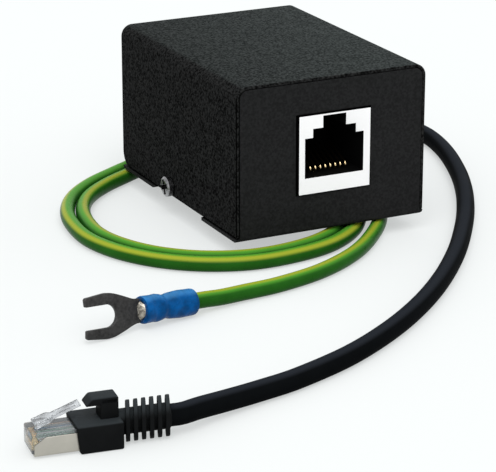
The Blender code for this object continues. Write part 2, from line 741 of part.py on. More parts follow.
def build_board():
    """The circuit board, its two rear screws on standoffs, and holes for the socket's pegs."""
    low = (-BOARD_WIDTH / 2, BOARD_FRONT, BOARD_BOTTOM)
    high = (BOARD_WIDTH / 2, BOARD_REAR, BOARD_TOP)
    board = box("circuit_board", low, high, BOARD_GREEN)
    for side, name in ((-1, "left"), (1, "right")):
        hole = cylinder(f"peg_hole_{name}", JACK_PEG_RADIUS + FIT, BOARD_BOTTOM - FIT, BOARD_TOP + FIT)
        hole.location = (JACK_X + side * JACK_PEG_SPREAD, FRONT + JACK_PEG_DEPTH, 0.0)
        x = side * (BOARD_WIDTH / 2 - BOARD_SCREW_INSET)
        y = BOARD_REAR - BOARD_SCREW_INSET
        screw_hole = cylinder(f"board_hole_{name}", BOARD_SCREW_RADIUS + FIT, BOARD_BOTTOM - FIT, BOARD_TOP + FIT)
        screw_hole.location = (x, y, 0.0)
        cut(board, hole, screw_hole)
        low, high = TRAY_FLOOR + FIT, BOARD_BOTTOM - FIT
        bore = BOARD_SCREW_RADIUS + FIT
        profile = [(bore, high), (STANDOFF_RADIUS, high), (STANDOFF_RADIUS, low), (bore, low)]
        standoff = turned(f"standoff_{name}", profile, BRASS, 6, ring=True)
        standoff.location = (x, y, 0.0)
        length = BOARD_TOP - TRAY_FLOOR - BOARD_SCREW_END_GAP
        screw = build_pan_screw(f"board_screw_{name}", BOARD_SCREW_HEAD, BOARD_SCREW_HEAD_HEIGHT,
                                BOARD_SCREW_RADIUS, length, STEEL)
        screw.location = (x, y, BOARD_TOP + FIT)


def build_arresters():
    """One gas arrester and one clamping diode for each wire pair, in two rows behind the socket."""
    length, radius = ARRESTER_LENGTH, ARRESTER_RADIUS
    wide, deep, tall = DIODE_SIZE
    spare = LANDING_Y - PAIR_RADIUS - JACK_REAR - length - deep
    row = JACK_REAR + spare * 0.3 + length / 2
    diode_row = row + length / 2 + spare * 0.3 + deep / 2
    cap, groove = length * 0.22, radius * 0.88
    profile = [(0.0, length / 2), (radius, length / 2), (radius, length / 2 - cap), (groove, length / 2 - cap),
               (groove, -length / 2 + cap), (radius, -length / 2 + cap), (radius, -length / 2), (0.0, -length / 2)]
    for i in range(PAIR_COUNT):
        x = (i - (PAIR_COUNT - 1) / 2) * PAIR_PITCH
        arrester = turned(f"gas_arrester_{i + 1}", profile, CERAMIC, 20)
        arrester.location = (x, row, BOARD_TOP + FIT + radius)
        arrester.rotation_euler = (math.radians(90.0), 0.0, 0.0)
        z = BOARD_TOP + FIT
        box(f"clamping_diode_{i + 1}", (x - wide / 2, diode_row - deep / 2, z),
            (x + wide / 2, diode_row + deep / 2, z + tall), BLACK_PLASTIC, 0.25 * MM, 1)


def grommet_bore(cord):
    return cord / 2 + FIT


def grommet_waist(cord):
    return grommet_bore(cord) + GROMMET_WALL


def build_grommet(name, x, z, cord):
    """A rubber grommet whose groove holds the rear panel, its axis along Y."""
    bore, waist = grommet_bore(cord), grommet_waist(cord)
    lip = waist + GROMMET_LIP
    outside, inside = GROMMET_FACE - REAR, -SHEET - FIT - GROMMET_FLANGE
    ease = 0.3 * MM
    profile = [(bore, outside), (lip - ease, outside), (lip, outside - ease), (lip, FIT), (waist, FIT),
               (waist, -SHEET - FIT), (lip, -SHEET - FIT), (lip, inside + ease), (lip - ease, inside), (bore, inside)]
    grommet = turned(name, profile, RUBBER, 28, ring=True)
    grommet.location = (x, REAR, z)
    grommet.rotation_euler = (math.radians(-90.0), 0.0, 0.0)


def build_earth_bond():
    """Ring terminal on a stud through the tray's floor, with washer and nut, and the wire's end inside."""
    ring_low = TRAY_FLOOR + FIT
    ring_top = ring_low + RING_SHEET
    washer_low = ring_top + FIT
    nut_low = washer_low + WASHER_HEIGHT + FIT
    profile = [(0.0, TRAY_FLOOR + STUD_HEIGHT), (STUD_RADIUS * 0.8, TRAY_FLOOR + STUD_HEIGHT),
               (STUD_RADIUS, TRAY_FLOOR + STUD_HEIGHT - 0.4 * MM), (STUD_RADIUS, BOX_BOTTOM),
               (0.0, BOX_BOTTOM)]
    stud = turned("earth_stud", profile, STEEL, 24)
    stud.location = (STUD_X, STUD_Y, 0.0)
    bore = STUD_RADIUS + FIT
    washer = turned("earth_washer", [(bore, washer_low + WASHER_HEIGHT), (RING_OUTER, washer_low + WASHER_HEIGHT),
                                     (RING_OUTER, washer_low), (bore, washer_low)], STEEL, 24, ring=True)
    washer.location = (STUD_X, STUD_Y, 0.0)
    corner = NUT_ACROSS_FLATS / math.sqrt(3)
    nut = turned("earth_nut", [(bore, nut_low + NUT_HEIGHT), (corner, nut_low + NUT_HEIGHT),
                               (corner, nut_low), (bore, nut_low)], STEEL, 6, ring=True)
    nut.location = (STUD_X, STUD_Y, 0.0)
    barrel_radius = EARTH_WIRE / 2 + FIT
    barrel_end = STUD_X - RING_OUTER - 0.6 * MM
    barrel_start = barrel_end - RING_BARREL
    outline = [(barrel_end - STUD_X - 1.0 * MM, -barrel_radius), *arc((0.0, 0.0), RING_OUTER, -150, 150, 24),
               (barrel_end - STUD_X - 1.0 * MM, barrel_radius)]
    hole = arc((0.0, 0.0), bore, 0, 345, 23)
    terminal = plate("earth_ring_terminal", [outline, hole], RING_SHEET, TIN)
    terminal.location = (STUD_X, STUD_Y, ring_low + RING_SHEET / 2)
    barrel = cylinder("ring_terminal_barrel", barrel_radius, 0.0, RING_BARREL)
    barrel.location = (barrel_start, STUD_Y, ring_low + barrel_radius)
    barrel.rotation_euler = (0.0, math.radians(90.0), 0.0)
    join(terminal, barrel)
    level = ring_low + barrel_radius
    end = barrel_start - FIT
    route = [(EARTH_EXIT_X, GROMMET_FACE, EARTH_EXIT_Z), (EARTH_EXIT_X, REAR - 1.6 * MM, EARTH_EXIT_Z),
             (EARTH_EXIT_X + 0.5 * MM, REAR - 4.2 * MM, EARTH_EXIT_Z - 0.8 * MM),
             (end - 3.6 * MM, STUD_Y + 0.8 * MM, level + 0.5 * MM), (end, STUD_Y, level)]
    tube("earth_wire_inner_end", spaced(smooth_curve(route), 1.6 * MM), EARTH_WIRE / 2, GREEN_SHEATH)


def build_cable_end():
    """The patch cable's end inside the box, held by a tie, with its four pairs fanned out to the board."""
    stop = REAR - CABLE_TAIL
    middle = REAR - (CABLE_TAIL - TIE_WIDTH) / 2
    tube("patch_cable_inner_end", [(CABLE_EXIT_X, y, CABLE_EXIT_Z) for y in (GROMMET_FACE, middle, stop)],
         CABLE / 2, RUBBER)
    bore = CABLE / 2 + FIT
    outer, half = bore + TIE_STRAP, TIE_WIDTH / 2
    tie = turned("cable_tie", [(bore, half), (outer, half), (outer, -half), (bore, -half)], BLACK_PLASTIC, 24,
                 ring=True)
    tie.location = (CABLE_EXIT_X, REAR - TIE_SETBACK, CABLE_EXIT_Z)
    tie.rotation_euler = (math.radians(90.0), 0.0, 0.0)
    side, deep = TIE_LOCK * 0.53, TIE_WIDTH * 0.62
    lock = box("cable_tie_lock", (-side, bore + TIE_STRAP / 3, -deep), (side, bore + TIE_LOCK, deep))
    lock.parent = tie
    join(tie, lock)
    for i, (across, up) in enumerate(PAIR_STARTS):
        x = (i - (PAIR_COUNT - 1) / 2) * LANDING_PITCH
        start = Vector((CABLE_EXIT_X + across * PAIR_SPREAD, stop - FIT, CABLE_EXIT_Z + up * PAIR_SPREAD))
        board = Vector((x, LANDING_Y, BOARD_TOP + FIT))
        run = board - start
        route = [start, start + Vector((run.x * 0.12, run.y * 0.3, -PAIR_DROP * 0.12)),
                 Vector((start.x + run.x * 0.75, LANDING_Y - run.y * 0.16, start.z - PAIR_DROP)),
                 board + Vector((0.0, 0.0, PAIR_STAND)), board]
        tube(f"wire_pair_{i + 1}", spaced(smooth_curve(route), PAIR_RADIUS * 2.5), PAIR_RADIUS, PAIR_COLOURS[i], 1)


def offset_loop(line, distance):
    """A closed line moved sideways, outwards where distance is positive on a clockwise line."""
    count = len(line)
    moved = []
    for i in range(count):
        along = (line[(i + 1) % count] - line[i - 1]).normalized()
        moved.append(line[i] + Vector((-along.y, along.x)) * distance)
    return moved


def build_earth_coil():
    """The outer shape of the two coiled turns of earth wire: a flat oval ring with rounded rims."""
    middle = spaced(smooth_curve(COIL_ROUTE, closed=True), EARTH_WIRE * 1.5)[:-1]
    rim = EARTH_WIRE * 0.3
    reach = (TURN_PITCH + EARTH_WIRE) / 2 - rim
    outer = [tuple(p) for p in offset_loop(middle, reach)]
    inner = [tuple(p) for p in offset_loop(middle, -reach)]
    coil = plate("earth_wire_coil", [outer, inner], EARTH_WIRE, GREEN_SHEATH, rim)
    coil.location = (0.0, 0.0, WIRE_LEVEL)


def build_earth_runs():
    lead = spaced(smooth_curve(LEAD_ROUTE), EARTH_WIRE * 1.2)
    tube("earth_wire_lead", lead, EARTH_WIRE / 2, GREEN_SHEATH)
    end, back = sleeve_place(), terminal_backwards()
    points = [(x, y, WIRE_LEVEL + z) for x, y, z in TAIL_ROUTE]
    points.append(tuple(end + back * EARTH_WIRE))
    read = spaced(smooth_curve(points), EARTH_WIRE * 2.2)
    tube("earth_wire_tail", [*read, end + back * FIT], EARTH_WIRE / 2, GREEN_SHEATH)


def sleeve_place():
    """Centre of the crimp sleeve's wire end."""
    return Vector((-37.3 * MM, -45.8 * MM, FLOOR + SLEEVE_RADIUS))


def terminal_tilt():
    """Slope of the terminal that rests the rolled fork on its lower prong, in radians."""
    roll = math.radians(FORK_ROLL)
    rise = FORK_WIDTH / 2 * math.sin(roll) + FORK_SHEET / 2 * math.cos(roll) - SLEEVE_RADIUS
    return math.asin(rise / (SLEEVE_LENGTH + FORK_LENGTH - FORK_PRONG))


def terminal_backwards():
    turn, tilt = math.radians(FORK_HEADING), terminal_tilt()
    return -Vector((math.cos(turn) * math.cos(tilt), math.sin(turn) * math.cos(tilt), math.sin(tilt)))


def build_fork_terminal():
    """The crimped blue sleeve and the forked tongue, in a frame whose X runs from the wire to the prongs."""
    frame = add_frame("terminal_frame", sleeve_place())
    frame.rotation_euler = (math.radians(-FORK_ROLL), -terminal_tilt(), math.radians(FORK_HEADING))
    radius, neck = SLEEVE_RADIUS, SLEEVE_NECK_RADIUS
    bell, length = SLEEVE_BELL, SLEEVE_LENGTH
    ease = 0.3 * MM
    profile = [(0.0, length), (neck, length), (neck + ease, length - ease), (neck + ease, length - 1.2 * MM),
               (neck, length - 1.6 * MM), (neck, bell + 0.8 * MM), (radius, bell), (radius, ease),
               (radius - ease, 0.0), (0.0, 0.0)]
    sleeve = attach(turned("crimp_sleeve", profile, BLUE_SLEEVE, 28), frame)
    sleeve.rotation_euler = (0.0, math.radians(90.0), 0.0)
    start = length + FIT
    half, slot, throat = FORK_WIDTH / 2, FORK_SLOT / 2, FORK_NECK_WIDTH / 2
    tip = start + FORK_LENGTH
    bottom = tip - FORK_SLOT_DEPTH
    shoulder = tip - FORK_PRONG
    chamfer = 0.5 * MM
    outline = [(start, -throat), (start + FORK_TAIL, -throat), (shoulder, -half), (tip - chamfer, -half),
               (tip, -half + chamfer), (tip - chamfer, -slot),
               *reversed(arc((bottom + slot, 0.0), slot, 90, 270, 12)),
               (tip - chamfer, slot), (tip, half - chamfer), (tip - chamfer, half), (shoulder, half),
               (start + FORK_TAIL, throat), (start, throat)]
    fork = attach(plate("fork_terminal", [outline], FORK_SHEET, TIN), frame)
    round_edges(fork, FORK_SHEET * 0.1, 1, 60.0)


def build_patch_cable():
    entry = boot_entry()
    points = [(x, y, CABLE_LEVEL + z) for x, y, z in CABLE_ROUTE]
    points.append(tuple(entry + plug_backwards() * CABLE * 0.6))
    read = spaced(smooth_curve(points), CABLE * 1.9)
    tube("patch_cable", [*read, entry + plug_backwards() * FIT], CABLE / 2, RUBBER, 3)


def plug_place():
    """Foot of the plug's nose on the surface that the cords lie on."""
    return Vector((-82.2 * MM, -85.6 * MM, FLOOR))


def plug_backwards():
    turn = math.radians(PLUG_HEADING)
    return Vector((math.cos(turn), math.sin(turn), 0.0))


def boot_length():
    return BOOT_FRONT + BOOT_BODY + RIB_START + (RIB_COUNT - 1) * RIB_PITCH + RIB_THICKNESS


def boot_entry():
    return plug_place() + plug_backwards() * boot_length() + Vector((0.0, 0.0, BOOT_AXIS))


def build_plug(frame):
    """Clear body with contact slots, its contacts, and the metal shield round its sides and foot."""
    wall = SHIELD_SHEET + FIT
    half = PLUG_WIDTH / 2 - wall
    low, top = PLUG_LIFT + wall, PLUG_LIFT + PLUG_HEIGHT
    body = attach(box("plug_body", (0.0, -half, low), (PLUG_LENGTH, half, top), CLEAR), frame)
    start, end = PLUG_CONTACT_START, PLUG_CONTACT_START + PLUG_CONTACT_LENGTH
    for i in range(CONTACT_COUNT):
        y = (i - (CONTACT_COUNT - 1) / 2) * PLUG_CONTACT_PITCH
        reach = PLUG_CONTACT_WIDTH / 2
        slot_reach = reach + PLUG_SLOT_PLAY
        slot = box(f"plug_slot_{i + 1}", (start - FIT, y - slot_reach, low - FIT),
                   (end + FIT, y + slot_reach, low + PLUG_CONTACT_HEIGHT + FIT))
        attach(slot, frame)
        cut(body, slot)
        contact = box(f"plug_contact_{i + 1}", (start, y - reach, low), (end, y + reach, low + PLUG_CONTACT_HEIGHT),
                      GOLD)
        attach(contact, frame)
    wide = PLUG_WIDTH / 2 - SHIELD_SHEET / 2
    foot, rim = PLUG_LIFT + SHIELD_SHEET / 2, PLUG_LIFT + SHIELD_HEIGHT
    line = bend_line([(-wide, rim), (-wide, foot), (wide, foot), (wide, rim)], SHIELD_SHEET * 1.3, 3)
    back = PLUG_LENGTH - FIT
    shield = folded_sheet("plug_shield", line, SHIELD_START, back, "X", SHIELD_SHEET, STEEL)
    attach(shield, frame)
    comb = PLUG_CONTACT_PITCH * CONTACT_COUNT / 2 + FIT / 2
    window = box("shield_window", (-FIT, -comb, PLUG_LIFT - FIT), (end + FIT, comb, foot + FIT))
    attach(window, frame)
    corner = [(SHIELD_START - FIT, rim - SHIELD_CUT_HEIGHT), (SHIELD_START, rim - SHIELD_CUT_HEIGHT),
              (SHIELD_START + SHIELD_CUT_LENGTH, rim), (SHIELD_START + SHIELD_CUT_LENGTH, rim + FIT),
              (SHIELD_START - FIT, rim + FIT)]
    corner_cutter = attach(lay_in_xz(plate("shield_corner_cutter", [corner], PLUG_WIDTH * 1.5)), frame)
    cut(shield, window, corner_cutter)


def build_latch(frame):
    """The sprung latch tab: wide shoulders and a narrow arm, with its origin on the line where it flexes."""
    shoulder, narrow, long = LATCH_SHOULDER / 2, LATCH_WIDTH / 2, LATCH_LENGTH
    step, slope = LATCH_SHOULDER_LENGTH, LATCH_SHOULDER_LENGTH + (LATCH_SHOULDER - LATCH_WIDTH) / 2
    outline = [(0.0, -shoulder), (step, -shoulder), (slope, -narrow), (long, -narrow), (long, narrow),
               (slope, narrow), (step, shoulder), (0.0, shoulder)]
    latch = attach(plate("plug_latch", [outline], LATCH_THICKNESS, CLEAR), frame)
    latch.location = (LATCH_ROOT, 0.0, PLUG_LIFT + PLUG_HEIGHT + FIT + LATCH_THICKNESS / 2)
    latch.rotation_euler = (0.0, math.radians(-LATCH_SLOPE), 0.0)


def build_boot(frame):
    """The ribbed rubber boot: a block round the plug's tail, a hood behind the latch, a core and six ribs."""
    front, back = BOOT_FRONT, BOOT_FRONT + BOOT_BODY
    half = BOOT_WIDTH / 2
    pocket_top = PLUG_LIFT + PLUG_HEIGHT + FIT
    roof = pocket_top + BOOT_WALL
    boot = attach(box("plug_boot", (front, -half, 0.0), (back, half, roof), BLACK_PLASTIC), frame)
    hood_low = HOOD_TOP - HOOD_SHEET
    tip = front + TONGUE_SETBACK
    leg = back - HOOD_LEG
    hood_outline = [(tip, hood_low - TONGUE_DROP), (tip + TONGUE_DROP, hood_low), (leg, hood_low),
                    (leg, roof - BOOT_WALL / 2), (back - FIT, roof - BOOT_WALL / 2), (back - FIT, HOOD_TOP),
                    (front + HOOD_SETBACK, HOOD_TOP)]
    hood = attach(lay_in_xz(plate("boot_hood", [hood_outline], HOOD_WIDTH)), frame)
    core_end = boot_length() - front
    core_start = BOOT_BODY - RIB_START
    core = turned("boot_core", [(0.0, core_end), (BOOT_CORE, core_end), (BOOT_CORE, core_start), (0.0, core_start)],
                  None, 20)
    core.location = (front, 0.0, BOOT_AXIS)
    core.rotation_euler = (0.0, math.radians(90.0), 0.0)
    attach(core, frame)
    join(boot, hood, core)
    rib_outline = rounded_rectangle(RIB_WIDTH, RIB_HEIGHT, RIB_HEIGHT * 0.3, steps=4)
    for i in range(RIB_COUNT):
        rib = plate(f"boot_rib_{i + 1}", [rib_outline], RIB_THICKNESS)
        rib.location = (back + RIB_START + i * RIB_PITCH + RIB_THICKNESS / 2, 0.0, BOOT_AXIS)
        rib.rotation_euler = (math.radians(90.0), 0.0, math.radians(90.0))
        attach(rib, frame)
        join(boot, rib)
    pocket_half = PLUG_WIDTH / 2 + FIT
    end = front + BOOT_POCKET
    pocket = attach(box("boot_pocket", (front - FIT, -pocket_half, -FIT), (end, pocket_half, pocket_top)), frame)
    notch_half = HOOD_WIDTH / 2
    notch = box("boot_notch", (front - FIT, -notch_half, pocket_top - FIT), (leg - FIT, notch_half, roof + FIT))
    cut(boot, pocket, attach(notch, frame))


def shade_round_pieces():
    for obj in PARTS.objects:
        if obj.type == "MESH":
            obj.data.shade_smooth()
            obj.data.set_sharp_from_angle(angle=math.radians(35.0))


def main():
    build_cover()
    build_tray()
    build_cover_screws()
    build_jack()
    build_jack_contacts()
    build_board()
    build_arresters()
    build_grommet("earth_grommet", EARTH_EXIT_X, EARTH_EXIT_Z, EARTH_WIRE)
    build_grommet("cable_grommet", CABLE_EXIT_X, CABLE_EXIT_Z, CABLE)
    build_earth_bond()
    build_cable_end()
    build_earth_coil()
    build_earth_runs()
    build_fork_terminal()
    build_patch_cable()
    plug_frame = add_frame("plug_frame", plug_place(), PLUG_HEADING)
    build_plug(plug_frame)
    build_latch(plug_frame)
    build_boot(plug_frame)
    shade_round_pieces()


main()
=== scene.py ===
"""Looks of the ethernet surge protector: finishes, cords, plug, terminal, lights and camera.

Metres, +Z up. The origin is the centre of the steel box, whose front panel faces -Y."""

import json
import math

import bmesh
import bpy
import numpy as np
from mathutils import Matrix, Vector


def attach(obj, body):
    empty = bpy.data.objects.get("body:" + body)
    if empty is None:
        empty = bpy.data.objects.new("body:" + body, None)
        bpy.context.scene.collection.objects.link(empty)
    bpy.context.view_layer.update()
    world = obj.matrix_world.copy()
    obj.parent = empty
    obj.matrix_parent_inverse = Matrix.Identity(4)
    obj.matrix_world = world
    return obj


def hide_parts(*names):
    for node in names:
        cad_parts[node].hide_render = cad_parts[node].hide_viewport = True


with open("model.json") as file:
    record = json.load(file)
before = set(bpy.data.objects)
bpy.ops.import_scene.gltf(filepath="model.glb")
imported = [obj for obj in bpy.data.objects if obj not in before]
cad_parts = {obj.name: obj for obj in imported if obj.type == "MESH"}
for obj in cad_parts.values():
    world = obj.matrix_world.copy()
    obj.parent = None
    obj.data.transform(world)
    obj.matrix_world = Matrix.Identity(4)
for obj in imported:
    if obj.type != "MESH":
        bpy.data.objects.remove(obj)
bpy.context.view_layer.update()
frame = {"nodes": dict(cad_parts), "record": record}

MM = 0.001

# Steel box: from its centre to its outer faces, and its sheet, fit, bend and lower edges
HALF_WIDTH = 19.0 * MM
HALF_DEPTH = 25.0 * MM
HALF_HEIGHT = 14.25 * MM
SHEET = 0.6 * MM
FIT = 0.3 * MM
COVER_BEND = 2.2 * MM
COVER_EDGE = SHEET + FIT - HALF_HEIGHT
NOTCH_REAR = 9.5 * MM

# Eight contacts side by side, counted in pitches from their middle
EIGHT_WAYS = np.arange(8) - 3.5
PLUG_PITCH = 0.51 * MM

# Camera: degrees to the left of the front and down, and its focal length in the photograph's pixels
CAMERA_TURN = 26.317
CAMERA_TIP = 19.2
CAMERA_PLACE = (-194.67 * MM, -384.84 * MM, 126.68 * MM)
PHOTO_WIDTH = 496.0
FOCAL_LENGTH = 2400.0

# Cords: the floor, their middles where they lie, what keeps them off it, and where they leave the box
EARTH_WIRE = 2.8 * MM
TURN_PITCH = 2.9 * MM
CABLE = 3.4 * MM
FLOOR = -HALF_HEIGHT - FIT - EARTH_WIRE
WIRE_LEVEL = FLOOR + EARTH_WIRE / 2
CABLE_LEVEL = FLOOR + CABLE / 2
LIFT = 0.01 * MM
GROMMET_FACE = 26.5 * MM
EARTH_EXIT = (-9.0 * MM, GROMMET_FACE, -8.0 * MM)
CABLE_EXIT = (8.0 * MM, GROMMET_FACE, -1.0 * MM)
CORD_MAP = "cord"

# Middle line of the two coiled turns of earth wire, clockwise from the right
COIL_ROUTE = np.array([
    (18.0, 16.0), (16.4, 2.0), (11.3, -12.5), (2.0, -24.6), (-8.2, -28.7), (-17.2, -29.4),
    (-26.6, -25.9), (-34.2, -18.3), (-38.0, -8.2), (-37.9, 0.6), (-35.6, 9.4), (-30.8, 17.2),
    (-24.2, 22.9), (-16.8, 27.4), (-8.0, 32.2), (2.0, 36.2), (11.0, 35.0), (16.6, 27.2),
]) * MM

# Earth wire from its grommet over the coil and down inside it
LEAD_ROUTE = np.array([
    (-9.0, 26.4, -8.0), (-9.0, 31.5, -8.1), (-7.6, 36.6, -8.8), (-3.4, 40.4, -9.9), (2.4, 40.6, -11.0),
    (7.2, 37.2, -12.0), (9.8, 31.8, -13.2), (11.4, 27.2, -14.95), (12.6, 22.4, -15.85), (13.6, 17.0, -15.95),
]) * MM

# Earth wire from the outside of the coil to the terminal, with its height above its rest
TAIL_ROUTE = np.array([
    (22.4, 24.6, 0.0), (22.9, 15.0, 0.0), (21.6, 2.6, 0.0), (17.6, -10.4, 0.0), (12.7, -20.3, 0.0),
    (5.6, -29.0, 0.0), (-1.5, -35.2, 0.0), (-10.2, -40.0, 0.0), (-19.2, -42.6, 0.0), (-26.6, -43.6, 0.1),
    (-31.4, -44.6, 0.35),
]) * MM

# Patch cable from its grommet round the right of the box to the boot, with its height above its rest
CABLE_ROUTE = np.array([
    (8.0, 26.4, 14.65), (8.1, 33.5, 14.0), (11.4, 41.0, 12.4), (18.8, 46.6, 9.0), (27.8, 48.1, 5.4),
    (36.2, 45.2, 2.6), (42.4, 39.2, 0.9), (46.0, 31.2, 0.1), (47.13, 22.0, 0.0), (45.1, 11.2, 0.0),
    (40.6, -1.4, 0.0), (35.3, -12.8, 0.0), (29.0, -23.8, 0.0), (22.3, -33.8, 0.0), (15.0, -43.5, 0.0),
    (6.0, -53.7, 0.0), (-3.4, -62.6, 0.0), (-13.4, -70.3, 0.0), (-24.4, -76.9, 0.0), (-35.7, -81.5, 0.0),
    (-44.0, -83.8, 0.15), (-50.2, -85.6, 0.5), (-55.6, -87.4, 1.0),
]) * MM


def turn_about(axis, degrees):
    """The 3 by 3 matrix that turns points by that angle about X, Y or Z."""
    c, s = math.cos(math.radians(degrees)), math.sin(math.radians(degrees))
    rows = {
        "X": [(1, 0, 0), (0, c, -s), (0, s, c)],
        "Y": [(c, 0, s), (0, 1, 0), (-s, 0, c)],
        "Z": [(c, -s, 0), (s, c, 0), (0, 0, 1)],
    }
    return np.array(rows[axis], float)


def place_by(turn, place):
    """A function that turns and moves a piece's own points into the object's frame."""
    return lambda points: np.asarray(points, float) @ turn.T + place


UPRIGHT = place_by(np.eye(3), (0.0, 0.0, 0.0))

# The plug's frame: X back from its nose, Z up from the floor, and the cable's middle in its boot
PLUG_TURN = turn_about("Z", -7.5)
CORE_LEVEL = 2.95 * MM
in_plug = place_by(PLUG_TURN, (-82.2 * MM, -85.6 * MM, FLOOR))

# The terminal's frame: X from the sleeve's end to the fork's tip, Z out of the fork's face
SLEEVE_RADIUS = 2.35 * MM
SLEEVE_END = np.array((-37.3 * MM, -45.8 * MM, FLOOR + SLEEVE_RADIUS))
TERMINAL_TURN = turn_about("Z", 190.6) @ turn_about("Y", -4.7) @ turn_about("X", -78.0)
in_terminal = place_by(TERMINAL_TURN, SLEEVE_END)


# Curves


def smooth_curve(points, closed=False, samples=24):
    """A curve through all points: between two of them a cubic, whose slope at each is half the chord
    between its neighbours."""
    points = np.asarray(points, float)
    if closed:
        padded = np.vstack([points[-1:], points, points[:2]])
    else:
        padded = np.vstack([2 * points[:1] - points[1:2], points, 2 * points[-1:] - points[-2:-1]])
    a, b, c, d = (padded[k:len(padded) - 3 + k, None] for k in range(4))
    t = np.linspace(0, 1, samples, endpoint=False)[None, :, None]
    spans = 0.5 * (2 * b + (c - a) * t + (2 * a - 5 * b + 4 * c - d) * t**2 + (3 * b - a - 3 * c + d) * t**3)
    return np.vstack([spans.reshape(-1, points.shape[1]), padded[-2:-1]])


def along(points):
    """Distance from the start to each point."""
    steps = np.linalg.norm(np.diff(points, axis=0), axis=1)
    return np.concatenate([[0.0], np.cumsum(steps)])


def even(points, spacing):
    """The same line read at an even spacing."""
    reach = along(points)
    count = max(2, int(round(reach[-1] / spacing)))
    at = np.linspace(0, reach[-1], count + 1)
    return np.stack([np.interp(at, reach, points[:, k]) for k in range(points.shape[1])], 1)


def unit(vectors):
    """The same directions, each one metre long."""
    return vectors / np.maximum(np.linalg.norm(vectors, axis=-1, keepdims=True), 1e-12)


def full_turn(steps):
    """Even angles of one turn, in radians."""
    return np.linspace(0, 2 * math.pi, steps, endpoint=False)


def arc(centre, radius, start, end, steps):
    """Points of a circle from one angle to another, in degrees."""
    turn = np.radians(np.linspace(start, end, steps + 1))
    return np.stack([centre[0] + radius * np.cos(turn), centre[1] + radius * np.sin(turn)], 1)


def smooth_step(share):
    """A rise from 0 to 1 that starts and ends level."""
    return share * share * (3 - 2 * share)


def rise_over(start, length, at):
    """0 up to the start, then a straight rise to 1 over the length."""
    return np.clip((at - start) / length, 0, 1)


# Meshes


def put_in_scene(name, data):
    obj = bpy.data.objects.new(name, data)
    bpy.context.scene.collection.objects.link(obj)
    return obj


def add_object(name, mesh, smooth_angle):
    """An object for a mesh, shaded smooth up to that angle between faces, in degrees."""
    obj = put_in_scene(name, mesh)
    mesh.shade_smooth()
    mesh.set_sharp_from_angle(angle=math.radians(smooth_angle))
    return obj


def dress(obj, finishes, nodes=(), body="protector"):
    """Gives a piece its finishes and its body, and shows it in place of its CAD nodes."""
    obj.data.materials.clear()
    for material in finishes:
        obj.data.materials.append(material)
    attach(obj, body)
    if nodes:
        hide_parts(*nodes)
    return obj


def add_piece(name, skin, finishes, nodes=(), body="protector", smooth_angle=35.0, place=UPRIGHT,
              pattern=None):
    """A closed piece from a skin, its points and faces, with the faces turned outwards. A pattern is its UV
    map, one row for each corner of a face."""
    points, faces = skin
    mesh = bpy.data.meshes.new(name)
    mesh.from_pydata(place(points).tolist(), [], sum((block.tolist() for block in faces), []))
    mesh.validate()
    obj = dress(add_object(name, mesh, smooth_angle), finishes, nodes, body)
    if pattern is not None:
        mesh.uv_layers.new(name=CORD_MAP).data.foreach_set("uv", pattern.astype(np.float32).ravel())
    shape = bmesh.new()
    shape.from_mesh(mesh)
    bmesh.ops.recalc_face_normals(shape, faces=shape.faces)
    shape.to_mesh(mesh)
    shape.free()
    return obj


def read_faces(obj, what):
    """The centre or the normal of each face, one row for each."""
    values = np.empty(len(obj.data.polygons) * 3)
    obj.data.polygons.foreach_get(what, values)
    return values.reshape(-1, 3)


def paint_faces(obj, finish_number):
    """Gives each face one of the piece's finishes, by its number."""
    obj.data.polygons.foreach_set("material_index", np.asarray(finish_number).astype(np.int32))


def grid_faces(rows, columns, wrap_rows=False):
    """Four-cornered faces between neighbours in a grid of points stored row by row, each row a closed ring,
    and the last row next to the first where the rows wrap."""
    r = np.arange(rows if wrap_rows else rows - 1)[:, None]
    c = np.arange(columns)[None, :]
    after_r, after_c = (r + 1) % rows, (c + 1) % columns
    corners = [r * columns + c, r * columns + after_c, after_r * columns + after_c, after_r * columns + c]
    return np.stack([np.broadcast_to(k, (r.size, c.size)) for k in corners], -1).reshape(-1, 4)


def ring_skin(rings):
    """A skin over closed rings, rows by columns by 3, with a flat cap at each end: its points, and its faces
    as arrays with one row for each face."""
    rows, columns = rings.shape[:2]
    first, last = np.arange(columns)[None, ::-1], np.arange((rows - 1) * columns, rows * columns)[None]
    return rings.reshape(-1, 3), [grid_faces(rows, columns), first, last]


def join_skins(*skins):
    """Several skins as one: the points in turn, the faces counted on from where each skin's points start."""
    starts = np.cumsum([0] + [len(points) for points, _ in skins])
    faces = [block + start for start, (_, blocks) in zip(starts, skins) for block in blocks]
    return np.vstack([points for points, _ in skins]), faces


def rim_steps(rim, steps):
    """A rounded rim as a quarter circle: at each step, how far it is from the end, and how far drawn in."""
    turn = np.linspace(0, math.pi / 2, steps + 1)
    return rim * (1 - np.cos(turn)), rim * (1 - np.sin(turn))


def rounded_rectangle(half_a, half_b, radius, steps=4):
    """Points round a rectangle with circular corners. Each size may be an array, with one rectangle for each
    value."""
    half_a, half_b, radius = (np.atleast_1d(np.asarray(v, float))[:, None] for v in (half_a, half_b, radius))
    radius = np.minimum(radius, np.minimum(half_a, half_b))
    turn = (np.arange(4)[:, None] * 90 + np.linspace(0, 90, steps + 1)[None, :]).ravel() * math.pi / 180
    sign_a = np.repeat([1, -1, -1, 1], steps + 1)
    sign_b = np.repeat([1, 1, -1, -1], steps + 1)
    a = sign_a * (half_a - radius) + radius * np.cos(turn)
    b = sign_b * (half_b - radius) + radius * np.sin(turn)
    return np.stack([a, b], -1)


